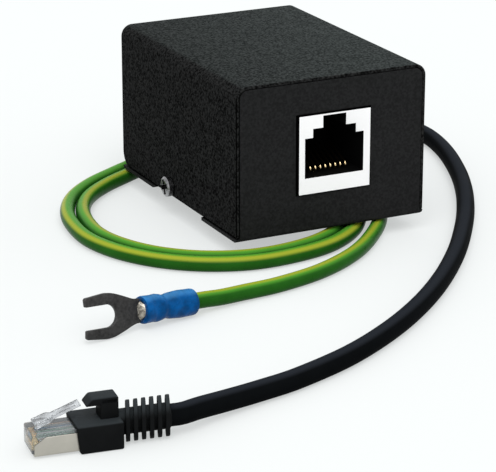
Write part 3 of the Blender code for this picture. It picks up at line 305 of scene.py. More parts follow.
def block_skin(x_range, y_middle, half_y, z_range, corner, rim, steps=4, lean=0.0, askew=0.0):
    """Rounded rectangle in YZ carried along X, drawn in along a quarter circle at both ends. lean moves the
    first end back by that many metres for each metre of height, askew the whole for each metre in Y."""
    further, drawn = rim_steps(rim, steps)
    x = np.concatenate([x_range[0] + further, (x_range[1] - further)[::-1]])
    inset = np.concatenate([drawn, drawn[::-1]])
    half_z = (z_range[1] - z_range[0]) / 2
    ring = rounded_rectangle(half_y - inset, half_z - inset, np.maximum(corner - inset, rim * 0.2), steps)
    y, height = ring[..., 0] + y_middle, ring[..., 1] + half_z
    left = (x_range[1] - x) / (x_range[1] - x_range[0])
    moved = x[:, None] + height * lean * left[:, None] + askew * y
    return ring_skin(np.stack([moved, y, height + z_range[0]], -1))


def plate_skin(outline, thickness, rim, steps=3):
    """A flat outline in XY given thickness: its rim is a quarter circle at each face, with each point drawn
    in along the line that halves its corner, at a sharp corner no more than 2.5 times as far as the edges."""
    outline = np.asarray(outline, float)
    before, after = outline - np.roll(outline, 1, 0), np.roll(outline, -1, 0) - outline
    normal_before = unit(np.stack([before[:, 1], -before[:, 0]], 1))
    normal_after = unit(np.stack([after[:, 1], -after[:, 0]], 1))
    halving = unit(normal_before + normal_after)
    halving /= np.maximum((halving * normal_after).sum(1, keepdims=True), 0.4)
    further, drawn = rim_steps(rim, steps)
    z = np.concatenate([-thickness / 2 + further, (thickness / 2 - further)[::-1]])
    inset = np.concatenate([drawn, drawn[::-1]])
    xy = outline[None] - halving[None] * inset[:, None, None]
    rings = np.concatenate([xy, np.broadcast_to(z[:, None, None], (*xy.shape[:2], 1))], -1)
    return ring_skin(rings)


def turned_rings(profile, steps):
    """A profile of (radius, height) pairs turned about Z."""
    radius, height = np.asarray(profile, float).T[..., None]
    turn = full_turn(steps)
    return np.stack([radius * np.cos(turn), radius * np.sin(turn), height + 0 * turn], -1)


def tube_rings(path, radius, turn, first, second):
    """Circles carried along a path, each in the plane of two directions."""
    return path[:, None] + radius * (
        np.cos(turn)[..., None] * first[:, None] + np.sin(turn)[..., None] * second[:, None])


def sheet_skin(line, low, high, thickness, rim, run="Y", steps=3):
    """Bent sheet: round each point of a line across the bend goes a rounded rectangle, as thick as the sheet
    and as long as the piece runs there. Both ends of the line are drawn in along a quarter circle."""
    times = np.ones(len(line), int)
    times[[0, -1]] = steps + 1
    tangents = np.repeat(unit(np.gradient(line, axis=0)), times, 0)
    starts, ends = (np.repeat(np.broadcast_to(side, len(line)), times) for side in (low, high))
    further, drawn = rim_steps(rim, steps)
    still = np.zeros(len(line) - 2)
    moved = np.concatenate([further, still, -further[::-1]])
    middle = np.repeat(line, times, 0) + tangents * moved[:, None]
    inset = np.concatenate([drawn, still, drawn[::-1]])
    ring = rounded_rectangle((ends - starts) / 2 - inset, thickness / 2 - inset, rim, steps)
    run_at = ring[..., 0] + ((starts + ends) / 2)[:, None]
    normal = np.stack([tangents[:, 1], -tangents[:, 0]], 1)
    plane = middle[:, None] + normal[:, None] * ring[..., 1:]
    level, up = plane[..., 0], plane[..., 1]
    return ring_skin(np.stack((level, run_at, up) if run == "Y" else (run_at, level, up), -1))


def bend_line(corners, radius, steps=10):
    """A line through 2D corners with each inner corner rounded to an arc of that radius."""
    corners = [np.asarray(c, float) for c in corners]
    line = [corners[0]]
    for before, corner, after in zip(corners, corners[1:], corners[2:]):
        back, ahead = unit(before - corner), unit(after - corner)
        half = math.acos(float(np.clip(back @ ahead, -1, 1))) / 2
        centre = corner + unit(back + ahead) * radius / math.sin(half)
        arm = corner + back * radius / math.tan(half) - centre
        across = corner + ahead * radius / math.tan(half) - centre
        turn = math.atan2(arm[0] * across[1] - arm[1] * across[0], float(arm @ across))
        at = np.linspace(0, turn, steps + 1)[:, None]
        line.extend(centre + arm * np.cos(at) + arm[::-1] * (-1, 1) * np.sin(at))
    line.append(corners[-1])
    return np.array(line)


# Finishes


def set_inputs(tree, node, inputs):
    """Sets a node's inputs by name or number: another node's output is linked, and a value is written in."""
    for name, value in inputs.items():
        if isinstance(value, bpy.types.NodeSocket):
            tree.links.new(value, node.inputs[name])
        else:
            node.inputs[name].default_value = value


def add_node(tree, kind, inputs, **settings):
    """A node with its settings, which decide what inputs it has, and then its inputs."""
    node = tree.nodes.new(kind)
    for name, value in settings.items():
        setattr(node, name, value)
    set_inputs(tree, node, inputs)
    return node


def add_math(tree, operation, *values):
    """The output of a Math node that takes outputs and numbers in turn."""
    return add_node(tree, "ShaderNodeMath", dict(enumerate(values)), operation=operation).outputs["Value"]


def make_grain_group():
    """Fine grain and broad cloudy patches on Object coordinates. Noise seldom leaves its middle, so each is
    spread from a little below and above a half to 0 and 1."""
    group = bpy.data.node_groups.new("surface_grain", "ShaderNodeTree")
    kinds = {"Grain": (2.0, 0.5, 0.13), "Patches": (4.0, 0.55, 0.18)}
    for kind in kinds:
        group.interface.new_socket(f"{kind} Scale", in_out="INPUT", socket_type="NodeSocketFloat")
        group.interface.new_socket(kind, in_out="OUTPUT", socket_type="NodeSocketFloat")
    given = group.nodes.new("NodeGroupInput")
    made = group.nodes.new("NodeGroupOutput")
    place = group.nodes.new("ShaderNodeTexCoord")
    for kind, (detail, roughness, reach) in kinds.items():
        noise = add_node(group, "ShaderNodeTexNoise", {
            "Vector": place.outputs["Object"], "Scale": given.outputs[f"{kind} Scale"],
            "Detail": detail, "Roughness": roughness})
        spread = add_node(group, "ShaderNodeMapRange", {
            "Value": noise.outputs["Fac"], "From Min": 0.5 - reach, "From Max": 0.5 + reach})
        group.links.new(spread.outputs["Result"], made.inputs[kind])
    return group


GRAIN = make_grain_group()
FINE_GRAIN = (3000.0, 0.02)
FAINT_PATCHES = (120.0, 0.1, 0.06)


def make_finish(name, colour, roughness, grain=FINE_GRAIN, patches=FAINT_PATCHES, speckle=0.0, **sockets):
    """A finish with fine bump and broad patches. grain is its scale and its depth in millimetres,
    patches its scale, how much it changes the colour and how much it changes the roughness,
    and speckle the share of the change of colour that follows the grain."""
    material = bpy.data.materials.new(name)
    material.use_nodes = True
    tree = material.node_tree
    surface = add_node(tree, "ShaderNodeGroup", {
        "Grain Scale": grain[0], "Patches Scale": patches[0]}, node_tree=GRAIN, name="grain")
    shade = add_node(tree, "ShaderNodeMix", {
        "Factor": speckle, "A": surface.outputs["Patches"], "B": surface.outputs["Grain"]}, data_type="FLOAT")
    dark = [c * (1 - patches[1]) for c in colour]
    light = [min(c * (1 + patches[1]), 1.0) for c in colour]
    tone = add_node(tree, "ShaderNodeMix", {
        "Factor": shade.outputs["Result"], "A": (*dark, 1.0), "B": (*light, 1.0)}, data_type="RGBA")
    worn = add_node(tree, "ShaderNodeMapRange", {
        "Value": surface.outputs["Patches"],
        "To Min": max(roughness - patches[2], 0.02), "To Max": min(roughness + patches[2], 1.0)})
    bump = add_node(tree, "ShaderNodeBump", {
        "Strength": 1.0, "Distance": grain[1] * MM, "Height": surface.outputs["Grain"]})
    set_inputs(tree, tree.nodes["Principled BSDF"], {
        "Base Color": tone.outputs["Result"], "Roughness": worn.outputs["Result"],
        "Normal": bump.outputs["Normal"],
        **{socket.replace("_", " "): value for socket, value in sockets.items()}})
    return material


def make_metal(name, colour, roughness, grain, patches, speckle=0.0):
    return make_finish(name, colour, roughness, grain, patches, speckle, Metallic=1.0)


def lay_colour(material, colour, amount, **settings):
    """Lays a colour on the finish's own, as much of it as the amount says."""
    tree = material.node_tree
    base = tree.nodes["Principled BSDF"].inputs["Base Color"]
    laid = add_node(tree, "ShaderNodeMix", {
        "Factor": amount, "A": base.links[0].from_socket, "B": (*colour, 1.0)}, data_type="RGBA", **settings)
    tree.links.new(laid.outputs["Result"], base)
    return material


def paint_light_on_top(material, colour, low=0.8, left=1.0, even=1.0):
    """Paints light, as an added colour, on what faces up: none where the normal's height is low or less, all
    of it where it is 1. left is its share at the left of the box, and even its least share in the grain."""
    tree = material.node_tree
    place = tree.nodes.new("ShaderNodeTexCoord")
    facing = add_node(tree, "ShaderNodeSeparateXYZ", {"Vector": place.outputs["Normal"]})
    where = add_node(tree, "ShaderNodeSeparateXYZ", {"Vector": place.outputs["Object"]})
    up = add_node(tree, "ShaderNodeMapRange", {
        "Value": facing.outputs["Z"], "From Min": low, "From Max": 1.0}, interpolation_type="SMOOTHSTEP")
    across = add_node(tree, "ShaderNodeMapRange", {
        "Value": where.outputs["X"], "From Min": -HALF_WIDTH, "From Max": HALF_WIDTH, "To Min": left})
    speckled = add_node(tree, "ShaderNodeMapRange", {
        "Value": tree.nodes["grain"].outputs["Grain"], "To Min": even, "To Max": 2.0 - even})
    amount = add_math(tree, "MULTIPLY", up.outputs["Result"], across.outputs["Result"])
    amount = add_math(tree, "MULTIPLY", amount, speckled.outputs["Result"])
    return lay_colour(material, colour, amount, blend_type="ADD", clamp_factor=False)


def paint_stripes(material, colour, soft=0.085, half_width=0.05):
    """Two opposite stripes along a cord, from the share of the way round that its UV map holds. Twice that
    share and a half, less its whole number, is a half at a stripe's middle. half_width is half a stripe's
    width, as a share of the way round, and soft the width over which an edge fades."""
    tree = material.node_tree
    around = tree.nodes.new("ShaderNodeUVMap")
    around.uv_map = CORD_MAP
    split = add_node(tree, "ShaderNodeSeparateXYZ", {"Vector": around.outputs["UV"]})
    share = add_math(tree, "FRACT", add_math(tree, "MULTIPLY_ADD", split.outputs["X"], 2.0, 0.5))
    apart = add_math(tree, "ABSOLUTE", add_math(tree, "SUBTRACT", share, 0.5))
    edge = add_node(tree, "ShaderNodeMapRange", {
        "Value": apart, "From Min": 2 * half_width - soft, "From Max": 2 * half_width + soft,
        "To Min": 1.0, "To Max": 0.0}, interpolation_type="SMOOTHSTEP")
    return lay_colour(material, colour, edge.outputs["Result"])


# Finishes of the box
# Painted light on the top of the coat: a lighter colour added on what faces up, more towards the right,
# speckled along the grain.
textured_coat = paint_light_on_top(
    make_finish("textured_black_coat", (0.012, 0.0123, 0.0122), 0.75, (2500.0, 0.025), (350.0, 0.9, 0.08),
                0.85, Specular_IOR_Level=0.004),
    (0.0225, 0.0275, 0.0265), left=0.5, even=0.6)
smooth_coat = make_finish(
    "smooth_black_coat", (0.0125, 0.0128, 0.013), 0.6, (2300.0, 0.012), (250.0, 0.3, 0.05), 0.8,
    Specular_IOR_Level=0.05)
# Near-black finish that paints shade on the cover's rounded rim.
rim_painted_shade = make_finish(
    "rim_painted_shade", (0.002, 0.002, 0.002), 0.7, (2500.0, 0.01), (350.0, 0.3, 0.08), 0.85, Specular_IOR_Level=0.0)
white_plastic = make_finish("white_plastic", (0.93, 0.93, 0.93), 0.4, (2500.0, 0.004), (60.0, 0.01, 0.05))
# Near-black finish that paints shade on the socket's white plastic behind its face.
throat_painted_shade = make_finish(
    "throat_painted_shade", (0.002, 0.002, 0.002), 0.7, (2500.0, 0.004), (60.0, 0.1, 0.05), Specular_IOR_Level=0.05)
gold_plate = make_metal("gold_plate", (0.93, 0.72, 0.4), 0.2, (3000.0, 0.002), (400.0, 0.08, 0.06))
# A shaded copy of the gold: painted shade on the socket contacts away from their bends.
shaded_gold = make_metal("shaded_gold", (0.006, 0.004, 0.002), 0.6, (3000.0, 0.002), (400.0, 0.08, 0.06))
screw_steel = make_metal("screw_steel", (0.3, 0.3, 0.305), 0.3, (1500.0, 0.02), (700.0, 0.5, 0.12))
# A dark copy of the screw steel: painted shade on the side of each head.
screw_flank_painted_shade = make_metal("screw_flank_painted_shade", (0.06, 0.06, 0.062), 0.35, (1500.0, 0.02), (700.0, 0.5, 0.12))
# Near-black finish: painted shade in the screws' cross recesses.
recess_painted_shade = make_finish(
    "recess_painted_shade", (0.004, 0.004, 0.004), 0.6, (1500.0, 0.01), (500.0, 0.15, 0.1), Specular_IOR_Level=0.05)
brass = make_metal("brass", (0.7, 0.5, 0.22), 0.35, (1500.0, 0.01), (300.0, 0.1, 0.08))
board_laminate = make_finish("board_laminate", (0.02, 0.14, 0.05), 0.4, (900.0, 0.01), (200.0, 0.1, 0.08))
pale_ceramic = make_finish("pale_ceramic", (0.72, 0.69, 0.63), 0.4, (1500.0, 0.01), (200.0, 0.06, 0.06))
black_plastic = make_finish("black_plastic", (0.012, 0.012, 0.013), 0.45, (2500.0, 0.01), (200.0, 0.1, 0.08))
black_rubber = make_finish(
    "black_rubber", (0.009, 0.009, 0.009), 0.7, (2200.0, 0.02), (220.0, 0.2, 0.08), Specular_IOR_Level=0.15)
pair_finishes = {name: make_finish(name, colour, 0.4) for name, colour in (
    ("orange_pair", (0.7, 0.22, 0.03)), ("green_pair", (0.03, 0.25, 0.07)),
    ("blue_pair", (0.03, 0.09, 0.42)), ("brown_pair", (0.16, 0.07, 0.03)))}

# Finishes of the earth wire
# Painted highlight: a lighter colour added on the upper side of the earth wire.
green_sheath = paint_light_on_top(
    make_finish("green_yellow_sheath", (0.013, 0.085, 0.007), 0.3, (1200.0, 0.006), (150.0, 0.15, 0.06),
                Specular_IOR_Level=0.04),
    (0.06, 0.19, 0.018), 0.5)
paint_stripes(green_sheath, (0.29, 0.335, 0.026))
# Painted highlight: a lighter colour added on the upper side of the sleeve.
blue_sleeve = paint_light_on_top(
    make_finish("blue_sleeve", (0.001, 0.062, 0.21), 0.26, (900.0, 0.05), (500.0, 0.35, 0.06),
                Specular_IOR_Level=0.06),
    (0.03, 0.1, 0.17), 0.65)
tinned_metal = make_metal("tinned_metal", (0.055, 0.054, 0.053), 0.46, (2200.0, 0.02), (600.0, 0.4, 0.1), 0.4)
# A lighter copy of the fork's tin: a painted highlight on the barrel.
tin_painted_highlight = make_metal("tin_painted_highlight", (0.3, 0.28, 0.24), 0.32, (1800.0, 0.04), (1200.0, 0.8, 0.1))

# Finishes of the patch cable
# Painted highlight: a lighter colour added along the upper side of the patch cable.
black_sheath = paint_light_on_top(
    make_finish("black_sheath", (0.0035, 0.0041, 0.0046), 0.42, (2400.0, 0.012), (160.0, 0.15, 0.06),
                Specular_IOR_Level=0.002),
    (0.0125, 0.0145, 0.0185), 0.68)
# Painted light: a lighter colour added on the upper faces of the boot.
soft_black = paint_light_on_top(
    make_finish("soft_black_plastic", (0.0062, 0.0067, 0.007), 0.5, (2200.0, 0.012), (220.0, 0.2, 0.08),
                Specular_IOR_Level=0.02),
    (0.019, 0.023, 0.025), 0.3)
clear_plastic = make_finish("clear_plastic", (0.6, 0.64, 0.66), 0.1, (1500.0, 0.006), (300.0, 0.03, 0.03),
                            Transmission_Weight=0.85, IOR=1.33)
clear_latch = make_finish("clear_latch", (0.62, 0.64, 0.66), 0.1, (700.0, 0.03), (600.0, 0.5, 0.05), 0.5,
                          Transmission_Weight=0.85, IOR=1.45)
shield_steel = make_metal("shield_steel", (0.46, 0.44, 0.39), 0.34, (1500.0, 0.006), (180.0, 0.08, 0.08))
conductor_finishes = [make_finish(name, colour, 0.4) for name, colour in (
    ("pale_conductors", (0.5, 0.51, 0.49)), ("orange_conductor", (0.6, 0.4, 0.28)),
    ("green_conductor", (0.24, 0.36, 0.28)), ("blue_conductor", (0.2, 0.3, 0.42)),
    ("brown_conductor", (0.3, 0.24, 0.2)))]

SLOT_FINISHES = {
    "textured_black_coat": textured_coat, "smooth_black_coat": smooth_coat, "white_plastic": white_plastic,
    "gold_plate": gold_plate, "screw_steel": screw_steel, "bright_steel": shield_steel, "brass": brass,
    "tinned_metal": tinned_metal, "board_laminate": board_laminate, "arrester_ceramic": pale_ceramic,
    "black_plastic": black_plastic, "black_soft_plastic": soft_black, "black_rubber": black_rubber,
    "black_sheath": black_sheath, "green_yellow_sheath": green_sheath, "blue_plastic": blue_sleeve,
    "clear_plastic": clear_plastic, **pair_finishes,
}

for part in frame["record"]["subparts"]:
    node = frame["nodes"][part["node"]]
    node.data.materials.clear()
    node.data.materials.append(SLOT_FINISHES[part["material_slot"]])


# Camera


def add_camera():
    """A long lens in front of the box and to its left, looking down: back is the way from what it looks at
    to its place."""
    turn, tip = math.radians(CAMERA_TURN), math.radians(CAMERA_TIP)
    back = Vector((-math.sin(turn) * math.cos(tip), -math.cos(turn) * math.cos(tip), math.sin(tip)))
    data = bpy.data.cameras.new("camera")
    data.lens = data.sensor_width * FOCAL_LENGTH / PHOTO_WIDTH
    data.clip_start = 0.01
    camera = put_in_scene("camera", data)
    camera.location = CAMERA_PLACE
    camera.rotation_euler = (-back).to_track_quat("-Z", "Y").to_euler()
    bpy.context.scene.camera = camera


add_camera()


# Cords


def cord_pattern(path, sides):
    """The UV map of a cord: the share of the way round and the distance along, in metres, at each corner of
    its faces, and nothing on its two ends."""
    r, c = np.indices((len(path) - 1, sides))
    around = np.stack([c, c + 1, c + 1, c], -1) / sides
    distance = along(path)[np.stack([r, r, r + 1, r + 1], -1)]
    return np.vstack([np.stack([around, distance], -1).reshape(-1, 2), np.zeros((2 * sides, 2))])


def add_cord(name, path, diameter, finish, nodes, sides, wound=0.0):
    """A round cord: a circle carried along its path, wound by an angle in radians at each point."""
    ahead = unit(np.gradient(path, axis=0))
    left = unit(np.cross((0.0, 0.0, 1.0), ahead))
    turn = np.broadcast_to(wound, len(path))[:, None] + full_turn(sides)
    rings = tube_rings(path, diameter / 2, turn, np.cross(ahead, left), left)
    return add_piece(name, ring_skin(rings), [finish], nodes, smooth_angle=60.0,
                     pattern=cord_pattern(path, sides))


def earth_wire_path():
    """One line from the grommet to the terminal: over the coil, down inside it, two turns side by side, and
    out. The turns follow the coil's middle line at a distance that rises by one pitch at the back. joined and
    left are the shares of a turn where the lead ends and the tail starts, and rise_start and rise_length
    those of the rise."""
    joined, left, rise_start, rise_length = 0.10, 0.97, 0.72, 0.24
    middle = even(smooth_curve(COIL_ROUTE, closed=True), 1.0 * MM)[:-1]
    count = len(middle)
    ahead = unit(np.roll(middle, -1, 0) - np.roll(middle, 1, 0))
    out = np.stack([-ahead[:, 1], ahead[:, 0]], 1)
    step = smooth_step(rise_over(rise_start, rise_length, np.arange(count) / count)) * TURN_PITCH
    inner, outer = (middle + out * (side * TURN_PITCH / 2 + step)[:, None] for side in (-1, 1))
    turns = np.vstack([inner[int(joined * count):], outer[:int(left * count)]])
    turns = np.hstack([turns, np.full((len(turns), 1), WIRE_LEVEL)])
    tail = TAIL_ROUTE + (0.0, 0.0, WIRE_LEVEL)
    before_sleeve, in_sleeve = -2.8 * MM, 1.0 * MM
    end = in_terminal([(before_sleeve, 0.0, 0.0), (in_sleeve, 0.0, 0.0)])
    knots = np.vstack([LEAD_ROUTE[:-1], turns[::8], tail[1:], end])
    line = smooth_curve(knots, samples=10)
    line[:, 2] = np.maximum(line[:, 2], WIRE_LEVEL + LIFT)
    return even(line, 0.8 * MM)


def stripe_turn(path):
    """How far the stripes are wound round the wire from straight up towards the outside of the coil,
    in degrees at distances in millimetres."""
    marks = np.array([
        (0, 0), (60, -8), (96, -8), (115, -4), (140, -10), (163, -16), (200, -20), (240, 0), (280, 36),
        (355, 35), (400, 35), (440, 30), (480, 10), (520, 3), (560, 0),
    ], float)
    return np.radians(np.interp(along(path) / MM, marks[:, 0], marks[:, 1]))


def patch_cable_path():
    """One line from the grommet round the right of the box and into the boot."""
    route = CABLE_ROUTE + (0.0, 0.0, CABLE_LEVEL)
    behind_boot, in_boot = 23.34 * MM, 20.94 * MM
    end = in_plug([(behind_boot, 0.0, CORE_LEVEL), (in_boot, 0.0, CORE_LEVEL)])
    line = smooth_curve(np.vstack([route, end]))
    line[:, 2] = np.maximum(line[:, 2], CABLE_LEVEL + LIFT)
    return even(line, 0.9 * MM)


earth_path = earth_wire_path()
earth_wire = add_cord("earth_wire", earth_path, EARTH_WIRE, green_sheath,
                      ["earth_wire_lead", "earth_wire_coil", "earth_wire_tail"], 28, stripe_turn(earth_path))
cable_path = patch_cable_path()
patch_cable = add_cord("patch_cable_sheath", cable_path, CABLE, black_sheath,
                       ["patch_cable"], 32)


# Box


def crowd_ends(line, heights):
    """Puts points at those heights into both upright ends of a line that is the same on each side."""
    left = np.stack([np.full(len(heights), line[0, 0]), heights], 1)
    return np.vstack([line[:1], left, line[1:-1], left[::-1] * (-1, 1), line[-1:]])


def add_cover():
    """The cover's sheet: up one side, over the top and down the other, its lower rear corners rounded off,
    and the lower front one on the right. Its rounded rim at the left of the front is painted darker than its
    faces, as shade."""
    half, top = HALF_WIDTH - SHEET / 2, HALF_HEIGHT - SHEET / 2
    rear_corner, front_corner, rim = 2.8 * MM, 0.3 * MM, 0.18 * MM
    crowded, painted_shade_top = 8.0 * MM, 12.5 * MM
    corners = [(-half, COVER_EDGE), (-half, top), (half, top), (half, COVER_EDGE)]
    line = bend_line(corners, COVER_BEND - SHEET / 2, 16)
    line = crowd_ends(line, COVER_EDGE + np.linspace(0, 1, 18)[1:-1]**2 * crowded)
    rise = line[:, 1] - COVER_EDGE
    rear, front = (corner - np.sqrt(np.maximum(corner**2 - np.clip(corner - rise, 0, corner)**2, 0))
                   for corner in (rear_corner, front_corner))
    front = np.where(line[:, 0] > 0, front, 0)
    skin = sheet_skin(line, front - HALF_DEPTH, HALF_DEPTH - rear, SHEET, rim)
    cover = add_piece("cover_sheet", skin, [textured_coat, rim_painted_shade], ["cover"])
    x, _, z = read_faces(cover, "center").T
    forward = -read_faces(cover, "normal")[:, 1]
    rounded = (forward > 0.15) & (forward < 0.97)
    # Painted shade on the rounded rim at the left of the front, below a height.
    paint_faces(cover, rounded & (x < -half) & (z < painted_shade_top))


def fit_tray(points):
    """Lets the front panel out to the cover along its top and sides, where the real one shows less of a gap,
    ends the strips behind the notches on a slant, longer at the bottom, and rounds off the lower right corner
    up to the cover. All sizes here are in millimetres."""
    top_out, right_out, left_out, slant, nose_in, nose_up = 0.22, 0.18, 0.12, 1.5, 0.5, 0.26
    flat_top, flat_side, edge, nose_low = 12.05, 16.8, 1.3, 13.8
    x, y, z = points.T / MM
    # The panel above its lower bend, the undersides of the strips at their ends, and the right front end
    panel = (y < -24.3) & (z > -13.5)
    strip = (abs(y - NOTCH_REAR / MM) < 0.05) & (abs(x) > flat_side) & (z < -14.2)
    nose = (x > 18.5) & (y < -24.2)
    let_out = rise_over(flat_side, edge, x) * right_out - rise_over(flat_side, edge, -x) * left_out
    across = panel * let_out - nose * rise_over(nose_low, 0.45, -z) * nose_in
    up = panel * rise_over(flat_top, edge, z) * top_out + (nose & (z > -13.7)) * nose_up
    return points + np.stack([across, strip * slant, up], 1) * MM


def fit_socket(points):
    """Lets the socket's face stand a little out of the panel, so that its flanks, painted dark as shade,
    frame it on two sides, and draws its left edge in. All sizes here are in millimetres."""
    x, y, z = points.T / MM
    face = y < -24.9
    return points + np.stack([(face & (x < -6.9)) * 0.2, face * -0.35, 0 * z], 1) * MM


def softened(node, name, finishes, fit):
    """A copy of a CAD node with its flat faces merged, fitted, and its edges rounded off a little."""
    shape = bmesh.new()
    shape.from_mesh(frame["nodes"][node].data)
    bmesh.ops.remove_doubles(shape, verts=shape.verts, dist=0.002 * MM)
    bmesh.ops.dissolve_limit(shape, angle_limit=math.radians(0.5), verts=shape.verts, edges=shape.edges)
    mesh = bpy.data.meshes.new(name)
    shape.to_mesh(mesh)
    shape.free()
    points = np.empty(len(mesh.vertices) * 3)
    mesh.vertices.foreach_get("co", points)
    mesh.vertices.foreach_set("co", fit(points.reshape(-1, 3)).ravel())
    mesh.update()
    obj = add_object(name, mesh, smooth_angle=40.0)
    rim = obj.modifiers.new("rim", "BEVEL")
    rim.width = 0.1 * MM
    rim.segments = 2
    rim.limit_method = "ANGLE"
    rim.angle_limit = math.radians(30.0)
    rim.harden_normals = True
    return dress(obj, finishes, [node])


def add_socket():
    """The socket: its front face is white, and every face that runs back from it or lies behind it is painted
    dark, as shade on the white plastic.
    """
    finishes = [white_plastic, throat_painted_shade]
    socket = softened("jack_housing", "socket_housing", finishes, fit_socket)
    forward = -read_faces(socket, "normal")[:, 1]
    ahead = -read_faces(socket, "center")[:, 1]
    # Painted shade on every face but the white front face.
    paint_faces(socket, (forward <= 0.9) | (ahead <= 24.0 * MM))


def add_socket_contacts():
    """Eight sprung wires in the socket: a circle carried along each wire's line, gold only near its bend and
    a shaded copy of the gold elsewhere, painted shade."""
    middle, pitch, radius, bend_radius = 0.38 * MM, 1.016 * MM, 0.2 * MM, 0.55 * MM
    pin, lie, tail, bend = -7.1 * MM, -3.78 * MM, -12.3 * MM, -22.8 * MM
    reach, rise, lit_back, lit_up = 6.2 * MM, 3.1 * MM, 1.3 * MM, 1.15 * MM
    nose = arc((bend + bend_radius, lie + bend_radius), bend_radius, 270, 135, 10)
    root = [(tail, pin), (tail, lie - 0.3 * MM), (tail - 0.3 * MM, lie)]
    line = np.vstack([root, nose, (bend + reach, lie + rise)])
    for number, way in enumerate(EIGHT_WAYS, 1):
        path = np.column_stack([np.full(len(line), middle + way * pitch), line])
        ahead = unit(np.gradient(path, axis=0))
        across = np.broadcast_to((1.0, 0.0, 0.0), ahead.shape)
        rings = tube_rings(path, radius, full_turn(12), across, np.cross(ahead, across))
        wire = add_piece(f"socket_contact_{number}", ring_skin(rings), [gold_plate, shaded_gold],
                         [f"jack_contact_{number}"])
        _, y, z = read_faces(wire, "center").T
        paint_faces(wire, (y > bend + lit_back) | (z > lie + lit_up))


def screw_head_skin(radius, height, cross_half, cross_width, depth):
    """A pan head as a height over a disc: a dome that falls to a straight rim, less a cross-shaped recess."""
    turn, soft, fall, middle_hole = full_turn(96), 0.08 * MM, 0.3, 0.004
    share = np.concatenate([[middle_hole], np.linspace(0, 1, 49)[1:]])[:, None]
    x, y = radius * share * np.cos(turn), radius * share * np.sin(turn)
    arms = [rise_over(0, soft, cross_half - abs(a)) * rise_over(-soft / 2, soft, cross_width / 2 - abs(b))
            for a, b in ((x, y), (y, x))]
    dome = height * (1 - fall * share**6) - depth * np.maximum(*arms)
    return ring_skin(np.vstack([np.stack([x, y, dome], -1), turned_rings([(radius, 0.0)], 96)]))


def add_cover_screws():
    """A head on a shank for each side. Its recess and its flank are painted darker than the rest, as shade,
    and are told from the rest by how far a face is from the screw's axis, and how high above its foot."""
    recess_reach, recess_low, recess_high = 1.45 * MM, 0.2 * MM, 1.08 * MM
    flank_reach, flank_high = 1.8 * MM, 0.75 * MM
    head = screw_head_skin(radius=1.9 * MM, height=1.15 * MM, cross_half=1.4 * MM, cross_width=0.75 * MM,
                           depth=0.55 * MM)
    shank = ring_skin(turned_rings(np.array([(1.0, 0.1), (1.0, -3.2), (0.5, -4.0)]) * MM, 24))
    for side, name in ((-1, "left"), (1, "right")):
        foot = np.array((side * 19.3 * MM, 2.8 * MM, -11.55 * MM))
        place = place_by(turn_about("Y", side * 90.0) @ turn_about("Z", 20.0), foot)
        screw = add_piece(f"cover_screw_head_{name}", join_skins(head, shank),
                          [screw_steel, recess_painted_shade, screw_flank_painted_shade], [f"cover_screw_{name}"],
                          place=place)
        offset = read_faces(screw, "center") - foot
        away, height = np.hypot(offset[:, 1], offset[:, 2]), offset[:, 0] * side
        sunk = (away < recess_reach) & (height < recess_high) & (height > recess_low)
        flank = (away > flank_reach) & (height < flank_high)
        # Painted shade in the recess and on the flank.
        paint_faces(screw, sunk + 2 * flank)


def add_grommet(name, node, mouth, cord):
    """A turned rubber ring with rounded lips on both sides of the rear panel, closed in on itself."""
    bore, waist = cord / 2 + 0.1 * MM, cord / 2 + 1.2 * MM
    lip, lip_round, mouth_round, gap = waist + 1.0 * MM, 0.5 * MM, 0.4 * MM, 0.05 * MM
    outer, inner = GROMMET_FACE - HALF_DEPTH, -2.1 * MM
    profile = np.vstack([
        arc((bore + mouth_round, outer - mouth_round), mouth_round, 180, 90, 5),
        arc((lip - lip_round, outer - lip_round), lip_round, 90, 0, 6),
        (lip, gap), (waist, 0.0), (waist, -SHEET), (lip, -SHEET - gap),
        arc((lip - lip_round, inner + lip_round), lip_round, 0, -90, 6),
        (bore, inner),
    ])
    rings = turned_rings(profile, 48)
    skin = rings.reshape(-1, 3), [grid_faces(len(profile), 48, wrap_rows=True)]
    place = place_by(turn_about("X", -90.0), (mouth[0], HALF_DEPTH, mouth[2]))
    add_piece(name, skin, [black_rubber], [node], place=place)


add_cover()
softened("tray", "tray_sheet", [smooth_coat], fit_tray)
add_socket()
add_socket_contacts()
add_cover_screws()
add_grommet("earth_wire_grommet", "earth_grommet", EARTH_EXIT, EARTH_WIRE)
add_grommet("patch_cable_grommet", "cable_grommet", CABLE_EXIT, CABLE)


# Terminal


def oval_rings(x, half_y, half_z, steps):
    """Ovals in YZ carried along X, each with its own half widths."""
    turn = full_turn(steps)
    return np.stack(np.broadcast_arrays(x[:, None], half_y * np.cos(turn), half_z * np.sin(turn)), -1)


def add_sleeve():
    """The crimped sleeve: rings along X whose radius follows a worn profile, pressed oval at two crimps, each
    a bell curve along X."""
    stations = np.array([
        (0.0, 1.62), (0.0, 2.0), (0.12, 2.2), (0.5, 2.27), (2.2, 2.24), (4.6, 2.2), (5.2, 2.16),
        (5.7, 2.02), (6.2, 2.0), (6.8, 2.16), (7.6, 2.2), (8.4, 2.12), (9.2, 2.26), (10.1, 2.34),
        (10.4, 2.25), (10.45, 2.0), (10.3, 1.5),
    ]) * MM
    crimps = ((2.9 * MM, 1.3 * MM, 0.05), (8.0 * MM, 1.0 * MM, 0.08))
    reach = along(stations)
    fine = np.linspace(0, reach[-1], 160)
    x, radius = (np.interp(fine, reach, stations[:, k]) for k in range(2))
    press = sum(np.exp(-((x - at) / spread) ** 2) * depth for at, spread, depth in crimps)
    wide = radius[:, None] * (1 + press[:, None] * np.cos(2 * full_turn(64)))
    return add_piece("sleeve_skin", ring_skin(oval_rings(x, wide, wide, 64)), [blue_sleeve],
                     ["crimp_sleeve"], place=in_terminal)


def mirrored(points):
    """The same points on the other side of the X axis, in the opposite order."""
    return points[::-1] * (1, -1)


